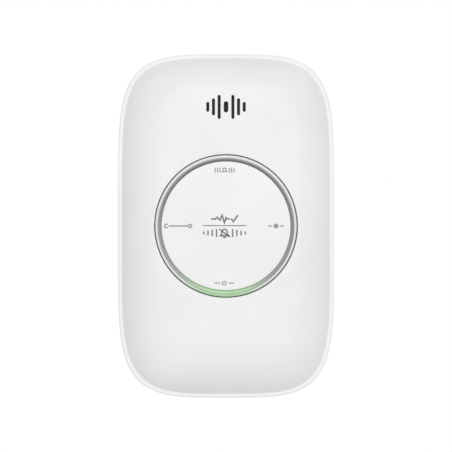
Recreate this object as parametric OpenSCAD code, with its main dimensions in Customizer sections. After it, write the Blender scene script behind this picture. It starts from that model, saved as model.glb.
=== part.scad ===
// Battery carbon monoxide alarm on a wall bracket.
//
// A domed front cover closes a rear housing. A ring-lit test button fills the middle of the
// face, and a slotted grille above it lets the sounder out. Two AA cells lie in a bay that
// opens at the back, and the whole alarm hangs on a bracket that is screwed to the wall.
//
// Every piece is drawn lying on its back: X right, Y up the wall, Z out of the wall, with
// Z = 0 on the wall. upright() stands it up, so that +Z is up and the front faces -Y.

/* [Body] */
// Width of the rear housing
body_w = 74; // [73.6:0.2:76]
// Height of the rear housing
body_h = 117.6; // [117.2:0.2:120]
// Height of the front face above the wall
face_z = 34.9; // [34.9:0.1:35.5]
// Width of the housing's rim that shows round the cover
rim_w = 1.3; // [1.1:0.1:1.5]
// Wall thickness of the cover
cover_wall = 2; // [1.8:0.1:2.1]
// Radius of the arc by which the face rolls down to the rim
dome_radius = 17.5; // [17:0.5:18]
// Slope of the cover where it meets the rim, in degrees
foot_tilt = 56; // [54:1:57]

/* [Grille] */
// Height of the slots' centre above the middle of the face
grille_y = 40.7; // [40.4:0.1:41.1]
// Width of the six narrow slots
slot_w = 1; // [0.8:0.1:1.1]
// Width of the middle slot
middle_slot_w = 1.55; // [1.4:0.05:1.7]

/* [Button and light ring] */
// Radius of the button
button_r = 22.1; // [21.9:0.05:22.15]
// Outer radius of the light ring's visible face
ring_r = 24.15; // [24.05:0.05:24.2]
// Travel of the button
button_travel = 1; // [0.6:0.1:1]
// Number of return springs under the button
spring_count = 3; // [3:1:4]

/* [Battery bay] */
// Diameter of a cell
cell_d = 14.2; // [13.8:0.1:14.4]
// Length of a cell over its positive nub
cell_l = 50.3; // [49.8:0.1:50.5]
// Thickness of the battery door
door_t = 1.8; // [1.6:0.1:1.8]

/* [Wall bracket] */
// Width of the bracket
bracket_w = 50; // [48:1:50]
// Height of the bracket
bracket_h = 48; // [46:1:48]
// Distance between the two wall screws
wall_screw_pitch = 30; // [26:1:32]
// Radius of the two wall screw holes
wall_screw_r = 2.2; // [1.8:0.1:2.4]
// Height that the alarm is lifted to free it from the hooks
lift = 4.5; // [4:0.1:4.5]

/* [Hidden] */
$fn = 64;

eps = 0.01;         // overshoot of a cut past the face it opens
outline_points = 88;
side_exp = 4;       // the outline is |x/a|^side_exp + |y/b|^end_exp = 1
end_exp = 5.5;

// Rear housing
back_z = 0.6;       // the housing's back stands this far off the wall
back_round = 2.2;
rim_round = 0.4;
parting_z = face_z - dome_radius * (1 - cos(foot_tilt));    // where the cover meets the housing
wall = 2.2;
floor_z = 2.6;
rim_clearance = 0.15;
lip_h = 1.5;
lip_t = 0.95;
vent_pitch = 3.2;
vent_z = 6;

// Screws that hold the cover: position, tube, counterbore and pilot hole
cover_screws = [[-29.5, 41], [29.5, 41], [-31.3, -6], [31.3, -6]];
tube_r = 3.3;
head_bore_r = 2.6;
shoulder_z = 12;
screw_joint_z = 17;  // where the housing's tubes meet the cover's bosses
screw_r = 1.25;
boss_r = 2.9;
cover_screw_l = 12;

// Circuit board
board_z = 21.4;
board_t = 1.6;
board_top = board_z + board_t;
board_inset = 4.4;
board_posts = [[-20, 49.4], [20, 49.4], [-20, -50.2], [20, -50.2]];
post_r = 2.4;
board_screw_r = 1;

// Light ring, button and what carries them
led_r = 23.9;
ring_gap = 0.4;
ring_lip_r = 22.3;
ring_foot = [23.3, 24.9, 27.2];     // inner and outer radius of the ring's foot, and its height
leg_at = led_r + 0.1;
leg_size = [2, 4];
button_flange_w = 0.85;
button_skirt_t = 1.8;
button_foot_z = 29.8;
flange_r = 25.8;
flange_z = 30.4;
flange_t = 1.2;
carrier_z = 25.4;
carrier_t = 1.2;
carrier_r = 26.8;
carrier_top = carrier_z + carrier_t;
upstand_r = [25.1, 26.1];
carrier_post_r = 1.6;
carrier_post_orbit = 20.5;
cup_r = 2.9;
cup_top = 28.6;
cup_bore_r = 2.45;
carrier_hole_r = 6;
button_under = 33.3;
plunger_top = 30;
plunger_r = 1.75;
plunger_l = 3.8;
pusher_r = 1.8;
rib_foot_z = 31.6;
guide_r = 1.4;          // posts on the button that keep the springs in place
guide_foot_z = 30.5;
switch_w = 6.2;
switch_top = board_top + 4;
spring_orbit = 15;
spring_mean_r = 1.9;
spring_wire_r = 0.25;
spring_seat_z = 26.2;

// Sounder and sensor
sounder_c = [0, 38.3];
sounder_r = 10;
sounder_top = 31.3;
mesh_z = 31.9;
mesh_t = 0.3;
mesh_size = [16.2, 11.6];
plate_z = 27;
plate_thick = 0.25;
ceramic_r = 6.5;
ceramic_t = 0.2;
port_r = 2.2;
gasket_size = [15.4, 11.6];
gasket_w = 1;
gasket_c = [0, 40.2];
sensor_c = [0, -40.5];
sensor_r = 7;
sensor_top = 31;
sensor_base_top = board_top + 1.4;
filter_r = sensor_r - 2.5;
filter_z = sensor_top - 0.5;
sensor_pin_orbit = 4.2;

// Battery bay
bay_half = 27.5;
bay_c = -30.75;
bay_h = 31.5;
bay_wall = 1.7;
bay_floor_z = 18.7;
cell_pitch = 15.1;
cell_z = 11.4;
cell_nub_r = 2.7;
cell_nub_h = 1.2;
plate_t = 0.4;
bump = 0.5;
plate_w = 10;
plate_foot_z = 5.5;
plate_top_z = 17.5;
tab_w = 2.4;
ledge = 1.2;
door_gap = 0.3;
hinge_y = bay_c - bay_h / 2 + 0.1;
hinge_bead_r = 1.3;
hinge_z = back_z + hinge_bead_r;
hinge_pin_r = 0.9;
door_half = bay_half + ledge - door_gap;
door_pin_l = 1.2;
door_top_y = bay_c + bay_h / 2 + 1.1;

// Bracket
bracket_t = 2.4;
bracket_c = 21;
recess_z = 2.8;
recess_gap = 0.6;
hook_x = 19;
hook_ys = [6, 36];
hook_w = 6;
hook_t = 2;
hook_tip = 3.2;
hook_lip_z = recess_z + 2.3;
hook_lip_t = 1.6;
hook_gap = 0.3;
countersink_z = 0.9;

// ---------------------------------------------------------------- shared shapes

module upright() {
    rotate([90, 0, 0]) children();
}

function side(v) = v < 0 ? -1 : 1;

// The body's outline, drawn in by inset
function outline(inset) = [for (i = [0 : outline_points - 1])
    let (t = 360 * (i + 0.5) / outline_points)
    [(body_w / 2 - inset) * side(cos(t)) * pow(abs(cos(t)), 2 / side_exp),
     (body_h / 2 - inset) * side(sin(t)) * pow(abs(sin(t)), 2 / end_exp)]];

// A closed solid through the outlines at each [inset, height], from the lowest up
module loft(levels) {
    n = outline_points;
    last = (len(levels) - 1) * n;
    points = [for (level = levels) each [for (p = outline(level[0])) [p[0], p[1], level[1]]]];
    sides = [for (k = [0 : len(levels) - 2]) for (i = [0 : n - 1])
        let (a = k * n + i, b = k * n + (i + 1) % n)
        each [[a, a + n, b + n], [a, b + n, b]]];
    bottom = [for (i = [0 : n - 1]) i];
    top = [for (i = [n - 1 : -1 : 0]) last + i];
    polyhedron(points = points, faces = concat([bottom], sides, [top]));
}

// Levels of a dome's arc of radius r, from a slope of tilt at inset_0 to its flat top at z_1
function dome(inset_0, r, tilt, z_1, steps) = [for (i = [0 : steps])
    let (u = tilt * (1 - i / steps))
    [inset_0 + r * (sin(tilt) - sin(u)), z_1 - r * (1 - cos(u))]];

// Levels of a quarter round of radius r, which ends upright
function foot_round(z_0, r, steps) = [for (i = [0 : steps])
    let (u = 90 * i / steps) [r * (1 - sin(u)), z_0 + r * (1 - cos(u))]];

module prism(inset, z_0, z_1) {
    translate([0, 0, z_0]) linear_extrude(z_1 - z_0) polygon(outline(inset));
}

// Outline of a rectangle w by h with corners of radius r; r = w / 2 makes a round-ended slot
module rounded_rect(w, h, r) {
    corners = [[1, 1], [-1, 1], [-1, -1], [1, -1]];
    polygon([for (k = [0 : 3]) for (i = [0 : 6])
        let (u = 90 * k + 15 * i, c = corners[k])
        if (i < 6 || k % 2 == 1 || w > 2 * r + eps)
        [c[0] * (w / 2 - r) + r * cos(u), c[1] * (h / 2 - r) + r * sin(u)]]);
}

module slab(w, h, r, z_0, z_1, at = [0, 0]) {
    translate([at[0], at[1], z_0]) linear_extrude(z_1 - z_0) rounded_rect(w, h, r);
}

module rod(r, z_0, z_1, at = [0, 0]) {
    translate([at[0], at[1], z_0]) cylinder(r = r, h = z_1 - z_0);
}

module tube(r_out, r_in, z_0, z_1, at = [0, 0]) {
    difference() {
        rod(r_out, z_0, z_1, at);
        rod(r_in, z_0 - eps, z_1 + eps, at);
    }
}

module block(w, h, z_0, z_1, at = [0, 0]) {
    translate([at[0] - w / 2, at[1] - h / 2, z_0]) cube([w, h, z_1 - z_0]);
}

// A cross-head screw whose head sits on z, with its shank pointing up for way = 1
module screw(at, z, way, head_r, head_h, shank_r, length) {
    translate([at[0], at[1], z]) scale_way(way) {
        difference() {
            rod(head_r, -head_h, 0);
            for (turn = [0, 90]) rotate(turn)
                block(head_r * 1.3, head_r * 0.28, -head_h - eps, -head_h * 0.45);
        }
        rod(shank_r, 0, length - shank_r);
        translate([0, 0, length - shank_r]) cylinder(r1 = shank_r, r2 = shank_r * 0.35, h = shank_r);
    }
}

module scale_way(way) {
    if (way > 0) children();
    else mirror([0, 0, 1]) children();
}

// A coil spring along Z from z = 0 to z = h, its mean radius going from r_0 to r_1
module coil(r_0, r_1, wire_r, h, turns, steps = 12, sides = 6) {
    rings = turns * steps;
    function place(k) = let (f = k / rings, r = r_0 + (r_1 - r_0) * f)
        [r * cos(360 * turns * f), r * sin(360 * turns * f), wire_r + (h - 2 * wire_r) * f];
    points = [for (k = [0 : rings]) for (s = [0 : sides - 1])
        let (p = place(k), a = 360 * turns * k / rings, u = 360 * s / sides)
        [p[0] + wire_r * cos(u) * cos(a), p[1] + wire_r * cos(u) * sin(a), p[2] + wire_r * sin(u)]];
    walls = [for (k = [0 : rings - 1]) for (s = [0 : sides - 1])
        let (a = k * sides + s, b = k * sides + (s + 1) % sides)
        each [[a, b, b + sides], [a, b + sides, a + sides]]];
    start = [for (s = [sides - 1 : -1 : 0]) s];
    end = [for (s = [0 : sides - 1]) rings * sides + s];
    polyhedron(points = points, faces = concat([start], walls, [end]));
}

// ---------------------------------------------------------------- housing

rear_levels = concat(
    foot_round(back_z, back_round, 4),
    [[0, parting_z - rim_round], [rim_round * 0.13, parting_z - rim_round * 0.5],
     [rim_round * 0.5, parting_z - rim_round * 0.13], [rim_round, parting_z]]);

cover_levels = dome(rim_w, dome_radius, foot_tilt, face_z, 10);
inner_inset = wall + rim_clearance + lip_t;
inner_radius = dome_radius - cover_wall;
inner_tilt = asin(sin(foot_tilt) - (inner_inset - rim_w - cover_wall * sin(foot_tilt)) / inner_radius);
inner_levels = concat([[inner_inset, parting_z - lip_h - eps]],
    dome(inner_inset, inner_radius, inner_tilt, face_z - cover_wall, 7));

module bay_block() {
    slab(2 * (bay_half + bay_wall + ledge), bay_h + 2 * bay_wall, 4, back_z + eps, bay_floor_z + 1.2,
        [0, bay_c]);
}

module bay_hollow() {
    slab(2 * bay_half, bay_h, 1, back_z - eps, bay_floor_z, [0, bay_c]);
    // rebate that the door lies in
    foot = hinge_y - hinge_bead_r - door_gap;
    head = door_top_y + door_gap;
    block(2 * (door_half + door_gap), head - foot, back_z - eps, back_z + door_t, [0, (head + foot) / 2]);
    // groove for the hinge bead, and the two blind holes for its pins
    translate([0, hinge_y, hinge_z]) rotate([0, 90, 0]) {
        cylinder(r = hinge_bead_r + 0.2, h = 2 * (door_half + door_gap), center = true);
        cylinder(r = hinge_pin_r + 0.06, h = 2 * (door_half + door_pin_l + 0.4), center = true);
    }
    // slots in the bay's floor for the two contact tabs
    for (y = [-1, 1]) block(plate_t + 0.2, 3.2, bay_floor_z - eps, bay_floor_z + 2,
        [-bay_half + plate_t / 2, bay_c + y * cell_pitch / 2]);
}

module bracket_recess() {
    h = bracket_h + lift + recess_gap * 2;
    slab(bracket_w + 2 * recess_gap, h, 5, back_z - eps, recess_z, [0, bracket_c - lift / 2]);
    for (x = [-1, 1], y = hook_ys)
        translate([x * hook_x - hook_w / 2 - hook_gap, y - lift - 0.1, recess_z - eps])
            cube([hook_w + 2 * hook_gap, hook_t + lift + 0.2, 4]);
}

module vents() {
    size = [1.2, 4, 7];
    for (i = [-4 : 4], way = [-1, 1])
        translate([i * vent_pitch - size[0] / 2, way * (body_h / 2 - 1) - size[1] / 2, vent_z]) cube(size);
}

module rear_housing() {
    color("white") difference() {
        union() {
            difference() {
                loft(rear_levels);
                prism(wall, floor_z, parting_z + 1);
            }
            slab(bracket_w + 5, bracket_h + lift + 5, 5, floor_z - eps, recess_z + 2,
                [0, bracket_c - lift / 2]);
            bay_block();
            for (p = cover_screws) rod(tube_r, floor_z - eps, screw_joint_z - 0.1, p);
            for (p = board_posts) rod(post_r, floor_z - eps, board_z, p);
        }
        bracket_recess();
        bay_hollow();
        vents();
        for (p = cover_screws) {
            rod(head_bore_r, back_z - 1, shoulder_z, p);
            rod(screw_r + 0.2, shoulder_z - eps, screw_joint_z + 1, p);
        }
        for (p = board_posts) rod(board_screw_r + 0.05, board_z - 7, board_z + 1, p);
    }
}

module grille_slots() {
    // x, width and length of each slot, mirrored about the middle
    slots = [[0, middle_slot_w, 3.8], [2.35, slot_w, 8.2], [4.28, slot_w, 5.8], [6.22, slot_w, 3.35]];
    for (s = slots, way = [-1, 1]) if (s[0] > 0 || way > 0)
        slab(s[1], s[2], s[1] / 2, mesh_z, face_z + 1, [way * s[0], grille_y]);
}

module front_cover() {
    color("white") difference() {
        union() {
            loft(cover_levels);
            prism(wall + rim_clearance, parting_z - lip_h, parting_z + 0.5);
            for (p = cover_screws) rod(boss_r, screw_joint_z + 0.1, parting_z, p);
        }
        difference() {
            loft(inner_levels);
            for (p = cover_screws) rod(boss_r, screw_joint_z, face_z, p);
            rod(ring_r + 1.8, flange_z + flange_t + 0.05, face_z);
            slab(mesh_size[0] + 0.8, mesh_size[1] + 0.9, 2, mesh_z + mesh_t, face_z, [0, grille_y]);
        }
        for (p = cover_screws) rod(screw_r + 0.05, screw_joint_z - 2, shoulder_z + cover_screw_l + 0.5, p);
        rod(ring_r + ring_gap, face_z - 6, face_z + 1);
        grille_slots();
    }
}

module housing_screws() {
    color("silver") for (p = cover_screws)
        screw(p, shoulder_z, 1, 2.3, 1.8, screw_r, cover_screw_l);
}

// ---------------------------------------------------------------- bracket

module wall_bracket() {
    color("gainsboro") difference() {
        union() {
            slab(bracket_w, bracket_h, 4.5, 0, bracket_t, [0, bracket_c]);
            for (x = [-1, 1], y = hook_ys) translate([x * hook_x - hook_w / 2, y, bracket_t - eps]) {
                cube([hook_w, hook_t, hook_lip_z + hook_lip_t - bracket_t]);
                translate([0, 0, hook_lip_z - bracket_t]) cube([hook_w, hook_t + hook_tip, hook_lip_t]);
            }
        }
        for (x = [-1, 1]) translate([x * wall_screw_pitch / 2, bracket_c, 0]) {
            translate([0, 0, -eps]) cylinder(r = wall_screw_r, h = bracket_t + 1);
            translate([0, 0, countersink_z])
                cylinder(r1 = wall_screw_r, r2 = wall_screw_r + 1.8, h = bracket_t - countersink_z + eps);
        }
        // shallow grooves that stiffen the plate
        for (y = [-16, 16]) block(bracket_w - 14, 1.6, bracket_t - 0.6, bracket_t + 1, [0, bracket_c + y]);
    }
}

// ---------------------------------------------------------------- light ring and button

// Radius and height of the ring's section, from its foot round to the inner step
ring_section = [
    [ring_foot[0], ring_foot[2]], [ring_foot[1], ring_foot[2]],
    [ring_foot[1], flange_z], [flange_r, flange_z],
    [flange_r, flange_z + flange_t], [ring_r, flange_z + flange_t], [ring_r, face_z - 0.4],
    [ring_r - 0.2, face_z - 0.2], [ring_r - 1.1, face_z - 0.4], [ring_lip_r, face_z - 1],
    [ring_lip_r, flange_z + 0.5], [ring_foot[0], flange_z + 0.5]];

module light_ring() {
    color("whitesmoke") {
        rotate_extrude() polygon(ring_section);
        for (a = [0 : 90 : 270]) rotate(a)
            block(leg_size[0], leg_size[1], board_top + 1.3, ring_foot[2] + 0.1, [leg_at, 0]);
    }
}

// Half section of the button's cap, slightly crowned
crown = 0.25;
function crown_z(r) = face_z + 0.1 - crown * pow(r / button_r, 2);
button_section = concat(
    [[0, button_under], [button_r - button_skirt_t, button_under], [button_r - button_skirt_t, button_foot_z],
     [button_r + button_flange_w, button_foot_z], [button_r + button_flange_w, flange_z + 0.4],
     [button_r, flange_z + 0.4], [button_r, crown_z(button_r) - 0.35],
     [button_r - 0.12, crown_z(button_r) - 0.1], [button_r - 0.4, crown_z(button_r)]],
    [for (i = [5 : -1 : 0]) [(button_r - 1) * i / 5, crown_z((button_r - 1) * i / 5)]]);

module button_cap() {
    color("white") {
        rotate_extrude() polygon(button_section);
        rod(pusher_r, plunger_top + 0.05, button_under + eps);
        for (a = [0, 90]) rotate(a) block(12, 1, rib_foot_z, button_under + eps);
        for (k = [0 : spring_count - 1]) rotate(90 + 360 * k / spring_count)
            rod(guide_r, guide_foot_z, button_under + eps, [spring_orbit, 0]);
    }
}

module button_carrier() {
    color("white") difference() {
        union() {
            rod(carrier_r, carrier_z, carrier_top);
            tube(upstand_r[1], upstand_r[0], carrier_z + eps, flange_z - 0.05);
            for (k = [0 : spring_count - 1]) rotate(90 + 360 * k / spring_count)
                rod(cup_r, carrier_z, cup_top, [spring_orbit, 0]);
            for (a = [45 : 90 : 315]) rotate(a)
                rod(carrier_post_r, board_top, carrier_z + eps, [carrier_post_orbit, 0]);
        }
        rod(carrier_hole_r, carrier_z - 1, carrier_top + 1);
        for (a = [0 : 90 : 270]) rotate(a)
            block(leg_size[0] + 0.4, leg_size[1] + 0.4, carrier_z - 1, ring_foot[2] + 0.2, [leg_at, 0]);
        for (k = [0 : spring_count - 1]) rotate(90 + 360 * k / spring_count)
            rod(cup_bore_r, spring_seat_z, cup_top + 1, [spring_orbit, 0]);
    }
}

module button_springs() {
    color("silver") for (k = [0 : spring_count - 1]) rotate(90 + 360 * k / spring_count)
        translate([spring_orbit, 0, spring_seat_z])
            coil(spring_mean_r, spring_mean_r, spring_wire_r, button_under - spring_seat_z, 5);
}

module switch_body() {
    color("dimgray") difference() {
        block(switch_w, switch_w, board_top, switch_top);
        rod(plunger_r + 0.08, plunger_top - plunger_l - button_travel - 0.2, switch_top + 1);
    }
}

module switch_cover() {
    color("silver") difference() {
        union() {
            block(switch_w + 0.4, switch_w + 0.4, switch_top, switch_top + 0.3);
            for (way = [-1, 1])
                block(0.2, 3, board_top + 1.2, switch_top + eps, [way * (switch_w / 2 + 0.1), 0]);
        }
        rod(plunger_r + 0.2, switch_top - 1, switch_top + 1);
    }
}

module switch_plunger() {
    color("black") rod(plunger_r, plunger_top - plunger_l, plunger_top);
}

// ---------------------------------------------------------------- board

// Position of each through-hole pin, and the height where it meets its component
pins = concat(
    [for (x = [-1, 1], y = [-1, 1]) [x * 2.5, y * 2.25]],
    [for (x = [-1, 1]) [x * (sounder_r - 0.8), sounder_c[1]]],
    [for (a = [90, 210, 330]) sensor_c + sensor_pin_orbit * [cos(a), sin(a)]],
    [[16, 33], [18, 33], [21.6, 28.4], [23.6, 28.4]]);

module main_board() {
    color("darkgreen") difference() {
        prism(board_inset, board_z, board_top);
        for (p = cover_screws) rod(boss_r + 0.6, board_z - 1, board_top + 1, p);
        for (p = board_posts) rod(board_screw_r + 0.15, board_z - 1, board_top + 1, p);
        for (p = pins) rod(0.5, board_z - 1, board_top + 1, p);
        for (y = [-1, 1]) block(plate_t + 0.4, 2.8, board_z - 1, board_top + 1,
            [-bay_half + plate_t / 2, bay_c + y * cell_pitch / 2]);
    }
}

module component_pins() {
    color("silver") for (p = pins) rod(0.4, board_z - 0.9, board_top, p);
}

module board_screws() {
    color("silver") for (p = board_posts)
        screw(p, board_top, -1, 2, 1.3, board_screw_r, 7.5);
}

module led(angle, tint) {
    rotate(angle) translate([led_r, 0, 0]) color(tint) {
        block(2.6, 3, board_top, board_top + 0.8);
        rod(1, board_top + 0.8 - eps, board_top + 0.95);
    }
}

module led_alarm() led(90, "red");
module led_malfunction() led(180, "orange");
module led_power() led(270, "limegreen");
module led_fault() led(0, "gold");

// A chip with its leads: body size, lead count on each of two or four sides
module chip(at, w, h, t, count, pitch, four_sided) {
    translate([at[0], at[1], board_top]) {
        block(w, h, 0.1, t);
        for (turn = four_sided ? [0, 90, 180, 270] : [0, 180]) rotate(turn)
            for (i = [0 : count - 1]) translate([w / 2, (i - (count - 1) / 2) * pitch, 0]) {
                block(0.3, pitch * 0.5, 0.5, 0.65, [0.15, 0]);
                block(0.2, pitch * 0.5, 0, 0.65, [0.4, 0]);
                block(0.6, pitch * 0.5, 0, 0.15, [0.6, 0]);
            }
    }
}

module microcontroller() {
    color("dimgray") chip([17, -37], 7, 7, 1.2, 8, 0.8, true);
}

module sensor_amplifier() {
    color("dimgray") chip([-15, -38], 4, 5, 1.4, 4, 1.27, false);
}

module boost_coil() {
    at = [-18, 32];
    color("dimgray") difference() {
        rod(3, board_top, board_top + 5, at);
        tube(3.5, 2, board_top + 1, board_top + 4, at);
    }
}

module storage_capacitors() {
    color("midnightblue") for (at = [[17, 33], [22.6, 28.4]]) difference() {
        rod(2.5, board_top, board_top + 7, at);
        tube(3, 2.35, board_top + 1.2, board_top + 1.7, at);
        for (turn = [0, 90]) translate([at[0], at[1], 0]) rotate(turn)
            block(3, 0.25, board_top + 6.85, board_top + 8);
    }
}

module chips_in_rows(size, rows, columns, pitch, corner) {
    for (r = [0 : rows - 1], c = [0 : columns - 1])
        block(size[0], size[1], board_top, board_top + size[2],
            [corner[0] + c * pitch[0], corner[1] + r * pitch[1]]);
}

module chip_resistors() {
    color("black") {
        chips_in_rows([1.6, 0.8, 0.5], 5, 2, [2.6, 1.5], [-23, -36]);
        chips_in_rows([1.6, 0.8, 0.5], 2, 5, [2.5, 1.5], [-5, 26.2]);
    }
}

module chip_capacitors() {
    color("tan") {
        chips_in_rows([0.8, 1.6, 0.7], 3, 1, [0, 2.4], [24.5, -40]);
        chips_in_rows([0.8, 1.6, 0.7], 1, 4, [1.6, 0], [-20, -27.5]);
    }
}

// ---------------------------------------------------------------- sounder and sensor

module sounder_housing() {
    at = sounder_c;
    color("black") difference() {
        union() {
            rod(sounder_r, board_top, sounder_top - 0.8, at);
            translate([at[0], at[1], sounder_top - 0.8 - eps])
                cylinder(r1 = sounder_r, r2 = sounder_r - 0.8, h = 0.8 + eps);
        }
        rod(sounder_r - 1.6, board_top - 1, plate_z, at);
        rod(sounder_r - 0.9, plate_z - eps, sounder_top - 1.2, at);
        rod(port_r, sounder_top - 2, sounder_top + 1, at);
    }
}

module sounder_plate() {
    color("gold") rod(sounder_r - 1, plate_z, plate_z + plate_thick, sounder_c);
}

module sounder_ceramic() {
    foot = plate_z + plate_thick;
    color("white") rod(ceramic_r, foot, foot + ceramic_t, sounder_c);
}

module sounder_gasket() {
    color("dimgray") difference() {
        slab(gasket_size[0], gasket_size[1], 2, sounder_top, mesh_z, gasket_c);
        slab(gasket_size[0] - 2 * gasket_w, gasket_size[1] - 2 * gasket_w, 1, sounder_top - 1, mesh_z + 1,
            gasket_c);
    }
}

module grille_mesh() {
    color("black") slab(mesh_size[0], mesh_size[1], 1.5, mesh_z, mesh_z + mesh_t, [0, grille_y]);
}

module sensor_base() {
    color("black") rod(sensor_r + 0.3, board_top, sensor_base_top, sensor_c);
}

module sensor_can() {
    color("silver") difference() {
        union() {
            rod(sensor_r, sensor_base_top, sensor_top - 0.6, sensor_c);
            translate([sensor_c[0], sensor_c[1], sensor_top - 0.6 - eps])
                cylinder(r1 = sensor_r, r2 = sensor_r - 0.6, h = 0.6 + eps);
        }
        rod(filter_r, filter_z, sensor_top + 1, sensor_c);
        tube(sensor_r + 1, sensor_r - 0.35, sensor_base_top + 1.6, sensor_base_top + 2.4, sensor_c);
    }
}

module sensor_filter() {
    color("whitesmoke") rod(filter_r, filter_z, filter_z + 0.3, sensor_c);
}

// ---------------------------------------------------------------- battery bay

module battery_door() {
    h = door_top_y - hinge_y;
    color("white") difference() {
        union() {
            block(2 * door_half, h, back_z, back_z + door_t, [0, hinge_y + h / 2]);
            translate([0, hinge_y, hinge_z]) rotate([0, 90, 0]) {
                cylinder(r = hinge_bead_r, h = 2 * door_half, center = true);
                cylinder(r = hinge_pin_r, h = 2 * (door_half + door_pin_l), center = true);
            }
            // ribs that hold the cells down
            for (x = [-14, 14])
                block(1.2, bay_h - 8, back_z + door_t - eps, back_z + door_t + 1.6, [x, bay_c + 1]);
        }
        // U-shaped cut that frees the latch finger
        for (x = [-1, 1]) block(0.8, 8, back_z - 1, back_z + door_t + 1, [x * 6.4, door_top_y - 4]);
        // finger grip
        for (i = [0 : 4]) block(9, 0.7, back_z - 1, back_z + 0.4, [0, door_top_y - 2.2 - i * 1.5]);
    }
}

// A cell along X with its positive nub towards +X for way = 1
module cell(y, way) {
    start = -bay_half + plate_t + (bay_half * 2 - 2 * plate_t - bump - cell_l);
    translate([0, y, cell_z]) rotate([0, 90, way > 0 ? 0 : 180]) {
        translate([0, 0, start]) cylinder(r = cell_d / 2, h = cell_l - cell_nub_h);
        translate([0, 0, start + cell_l - cell_nub_h - eps]) cylinder(r = cell_nub_r, h = cell_nub_h + eps);
    }
}

module cell_upper() color("seagreen") cell(bay_c + cell_pitch / 2, 1);
module cell_lower() color("seagreen") cell(bay_c - cell_pitch / 2, -1);

// A contact plate against the left wall, with a tab that runs through the board
module contact(y) {
    x = plate_t / 2 - bay_half;
    block(plate_t, plate_w, plate_foot_z, plate_top_z, [x, y]);
    block(plate_t, tab_w, plate_top_z - eps, board_top + 0.4, [x, y]);
}

// The raised spot that touches a positive nub
module nub(y, way) {
    translate([way * (bay_half - plate_t + eps), y, cell_z]) rotate([0, -90 * way, 0])
        cylinder(r1 = 2.6, r2 = 1.8, h = bump + eps);
}

module contact_negative() {
    color("silver") contact(bay_c + cell_pitch / 2);
}

module contact_positive() {
    color("silver") {
        contact(bay_c - cell_pitch / 2);
        nub(bay_c - cell_pitch / 2, -1);
    }
}

module contact_bridge() {
    color("silver") {
        block(plate_t, cell_pitch + plate_w, plate_foot_z, plate_top_z, [bay_half - plate_t / 2, bay_c]);
        nub(bay_c + cell_pitch / 2, 1);
    }
}

module battery_springs() {
    h = bay_half * 2 - 2 * plate_t - bump - cell_l;
    color("silver") for (way = [-1, 1])
        translate([way * (bay_half - plate_t), bay_c - way * cell_pitch / 2, cell_z])
            rotate([0, -90 * way, 0]) coil(4.2, 2.8, 0.4, h, 3);
}

// ---------------------------------------------------------------- nodes

upright() wall_bracket();
upright() rear_housing();
upright() front_cover();
upright() grille_mesh();
upright() light_ring();
upright() button_cap();
upright() button_carrier();
upright() button_springs();
upright() switch_body();
upright() switch_cover();
upright() switch_plunger();
upright() main_board();
upright() board_screws();
upright() housing_screws();
upright() component_pins();
upright() sounder_housing();
upright() sounder_plate();
upright() sounder_ceramic();
upright() sounder_gasket();
upright() sensor_base();
upright() sensor_can();
upright() sensor_filter();
upright() led_alarm();
upright() led_fault();
upright() led_malfunction();
upright() led_power();
upright() microcontroller();
upright() sensor_amplifier();
upright() boost_coil();
upright() storage_capacitors();
upright() chip_resistors();
upright() chip_capacitors();
upright() battery_door();
upright() cell_upper();
upright() cell_lower();
upright() contact_negative();
upright() contact_positive();
upright() contact_bridge();
upright() battery_springs();
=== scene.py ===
"""The looks of a wall-hung carbon monoxide alarm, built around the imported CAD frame.

Shapes are drawn in millimetres, lying down: X right, Y up the wall, Z out of the wall from Z = 0 on it.
STAND stands them up in the frame's metres, where +Z is up and the alarm faces -Y.
"""
import math
from types import SimpleNamespace

import bmesh
import bpy
from mathutils import Matrix, Vector
from mathutils.geometry import delaunay_2d_cdt


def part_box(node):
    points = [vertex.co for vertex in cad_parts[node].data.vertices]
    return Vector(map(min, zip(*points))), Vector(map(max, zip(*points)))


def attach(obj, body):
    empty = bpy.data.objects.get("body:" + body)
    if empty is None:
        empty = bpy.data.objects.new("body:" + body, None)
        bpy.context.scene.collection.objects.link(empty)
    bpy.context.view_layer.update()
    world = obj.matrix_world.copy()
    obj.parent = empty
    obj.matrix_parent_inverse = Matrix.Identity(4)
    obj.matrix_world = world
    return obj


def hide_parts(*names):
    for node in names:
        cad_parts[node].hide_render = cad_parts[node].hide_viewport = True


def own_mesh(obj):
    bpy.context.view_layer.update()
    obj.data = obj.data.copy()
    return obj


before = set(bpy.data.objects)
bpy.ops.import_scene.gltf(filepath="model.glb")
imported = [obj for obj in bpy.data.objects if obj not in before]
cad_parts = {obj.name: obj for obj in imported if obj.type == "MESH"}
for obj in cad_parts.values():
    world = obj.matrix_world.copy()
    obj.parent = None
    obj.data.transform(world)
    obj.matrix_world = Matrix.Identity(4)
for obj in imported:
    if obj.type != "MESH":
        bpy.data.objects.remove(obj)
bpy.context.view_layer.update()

MM = 0.001
STAND = Matrix.Rotation(math.radians(90), 4, "X") @ Matrix.Scale(MM, 4)
TAU = 2 * math.pi


def measured(*nodes):
    """The span of some CAD nodes along the lying X, Y and Z, in millimetres."""
    boxes = [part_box(n) for n in nodes]
    lo = [min(b[0][i] for b in boxes) / MM for i in range(3)]
    hi = [max(b[1][i] for b in boxes) / MM for i in range(3)]
    return SimpleNamespace(x=(lo[0], hi[0]), y=(lo[2], hi[2]), z=(-hi[1], -lo[1]))


# ------------------------------------------------------------------ sizes from the frame

HOUSING = measured("rear_housing")
COVER = measured("front_cover")
RING = measured("light_ring")
BUTTON = measured("button_cap")
DOOR = measured("battery_door")
BRACKET = measured("wall_bracket")
MESH = measured("grille_mesh")
BOARD = measured("main_board")

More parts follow.
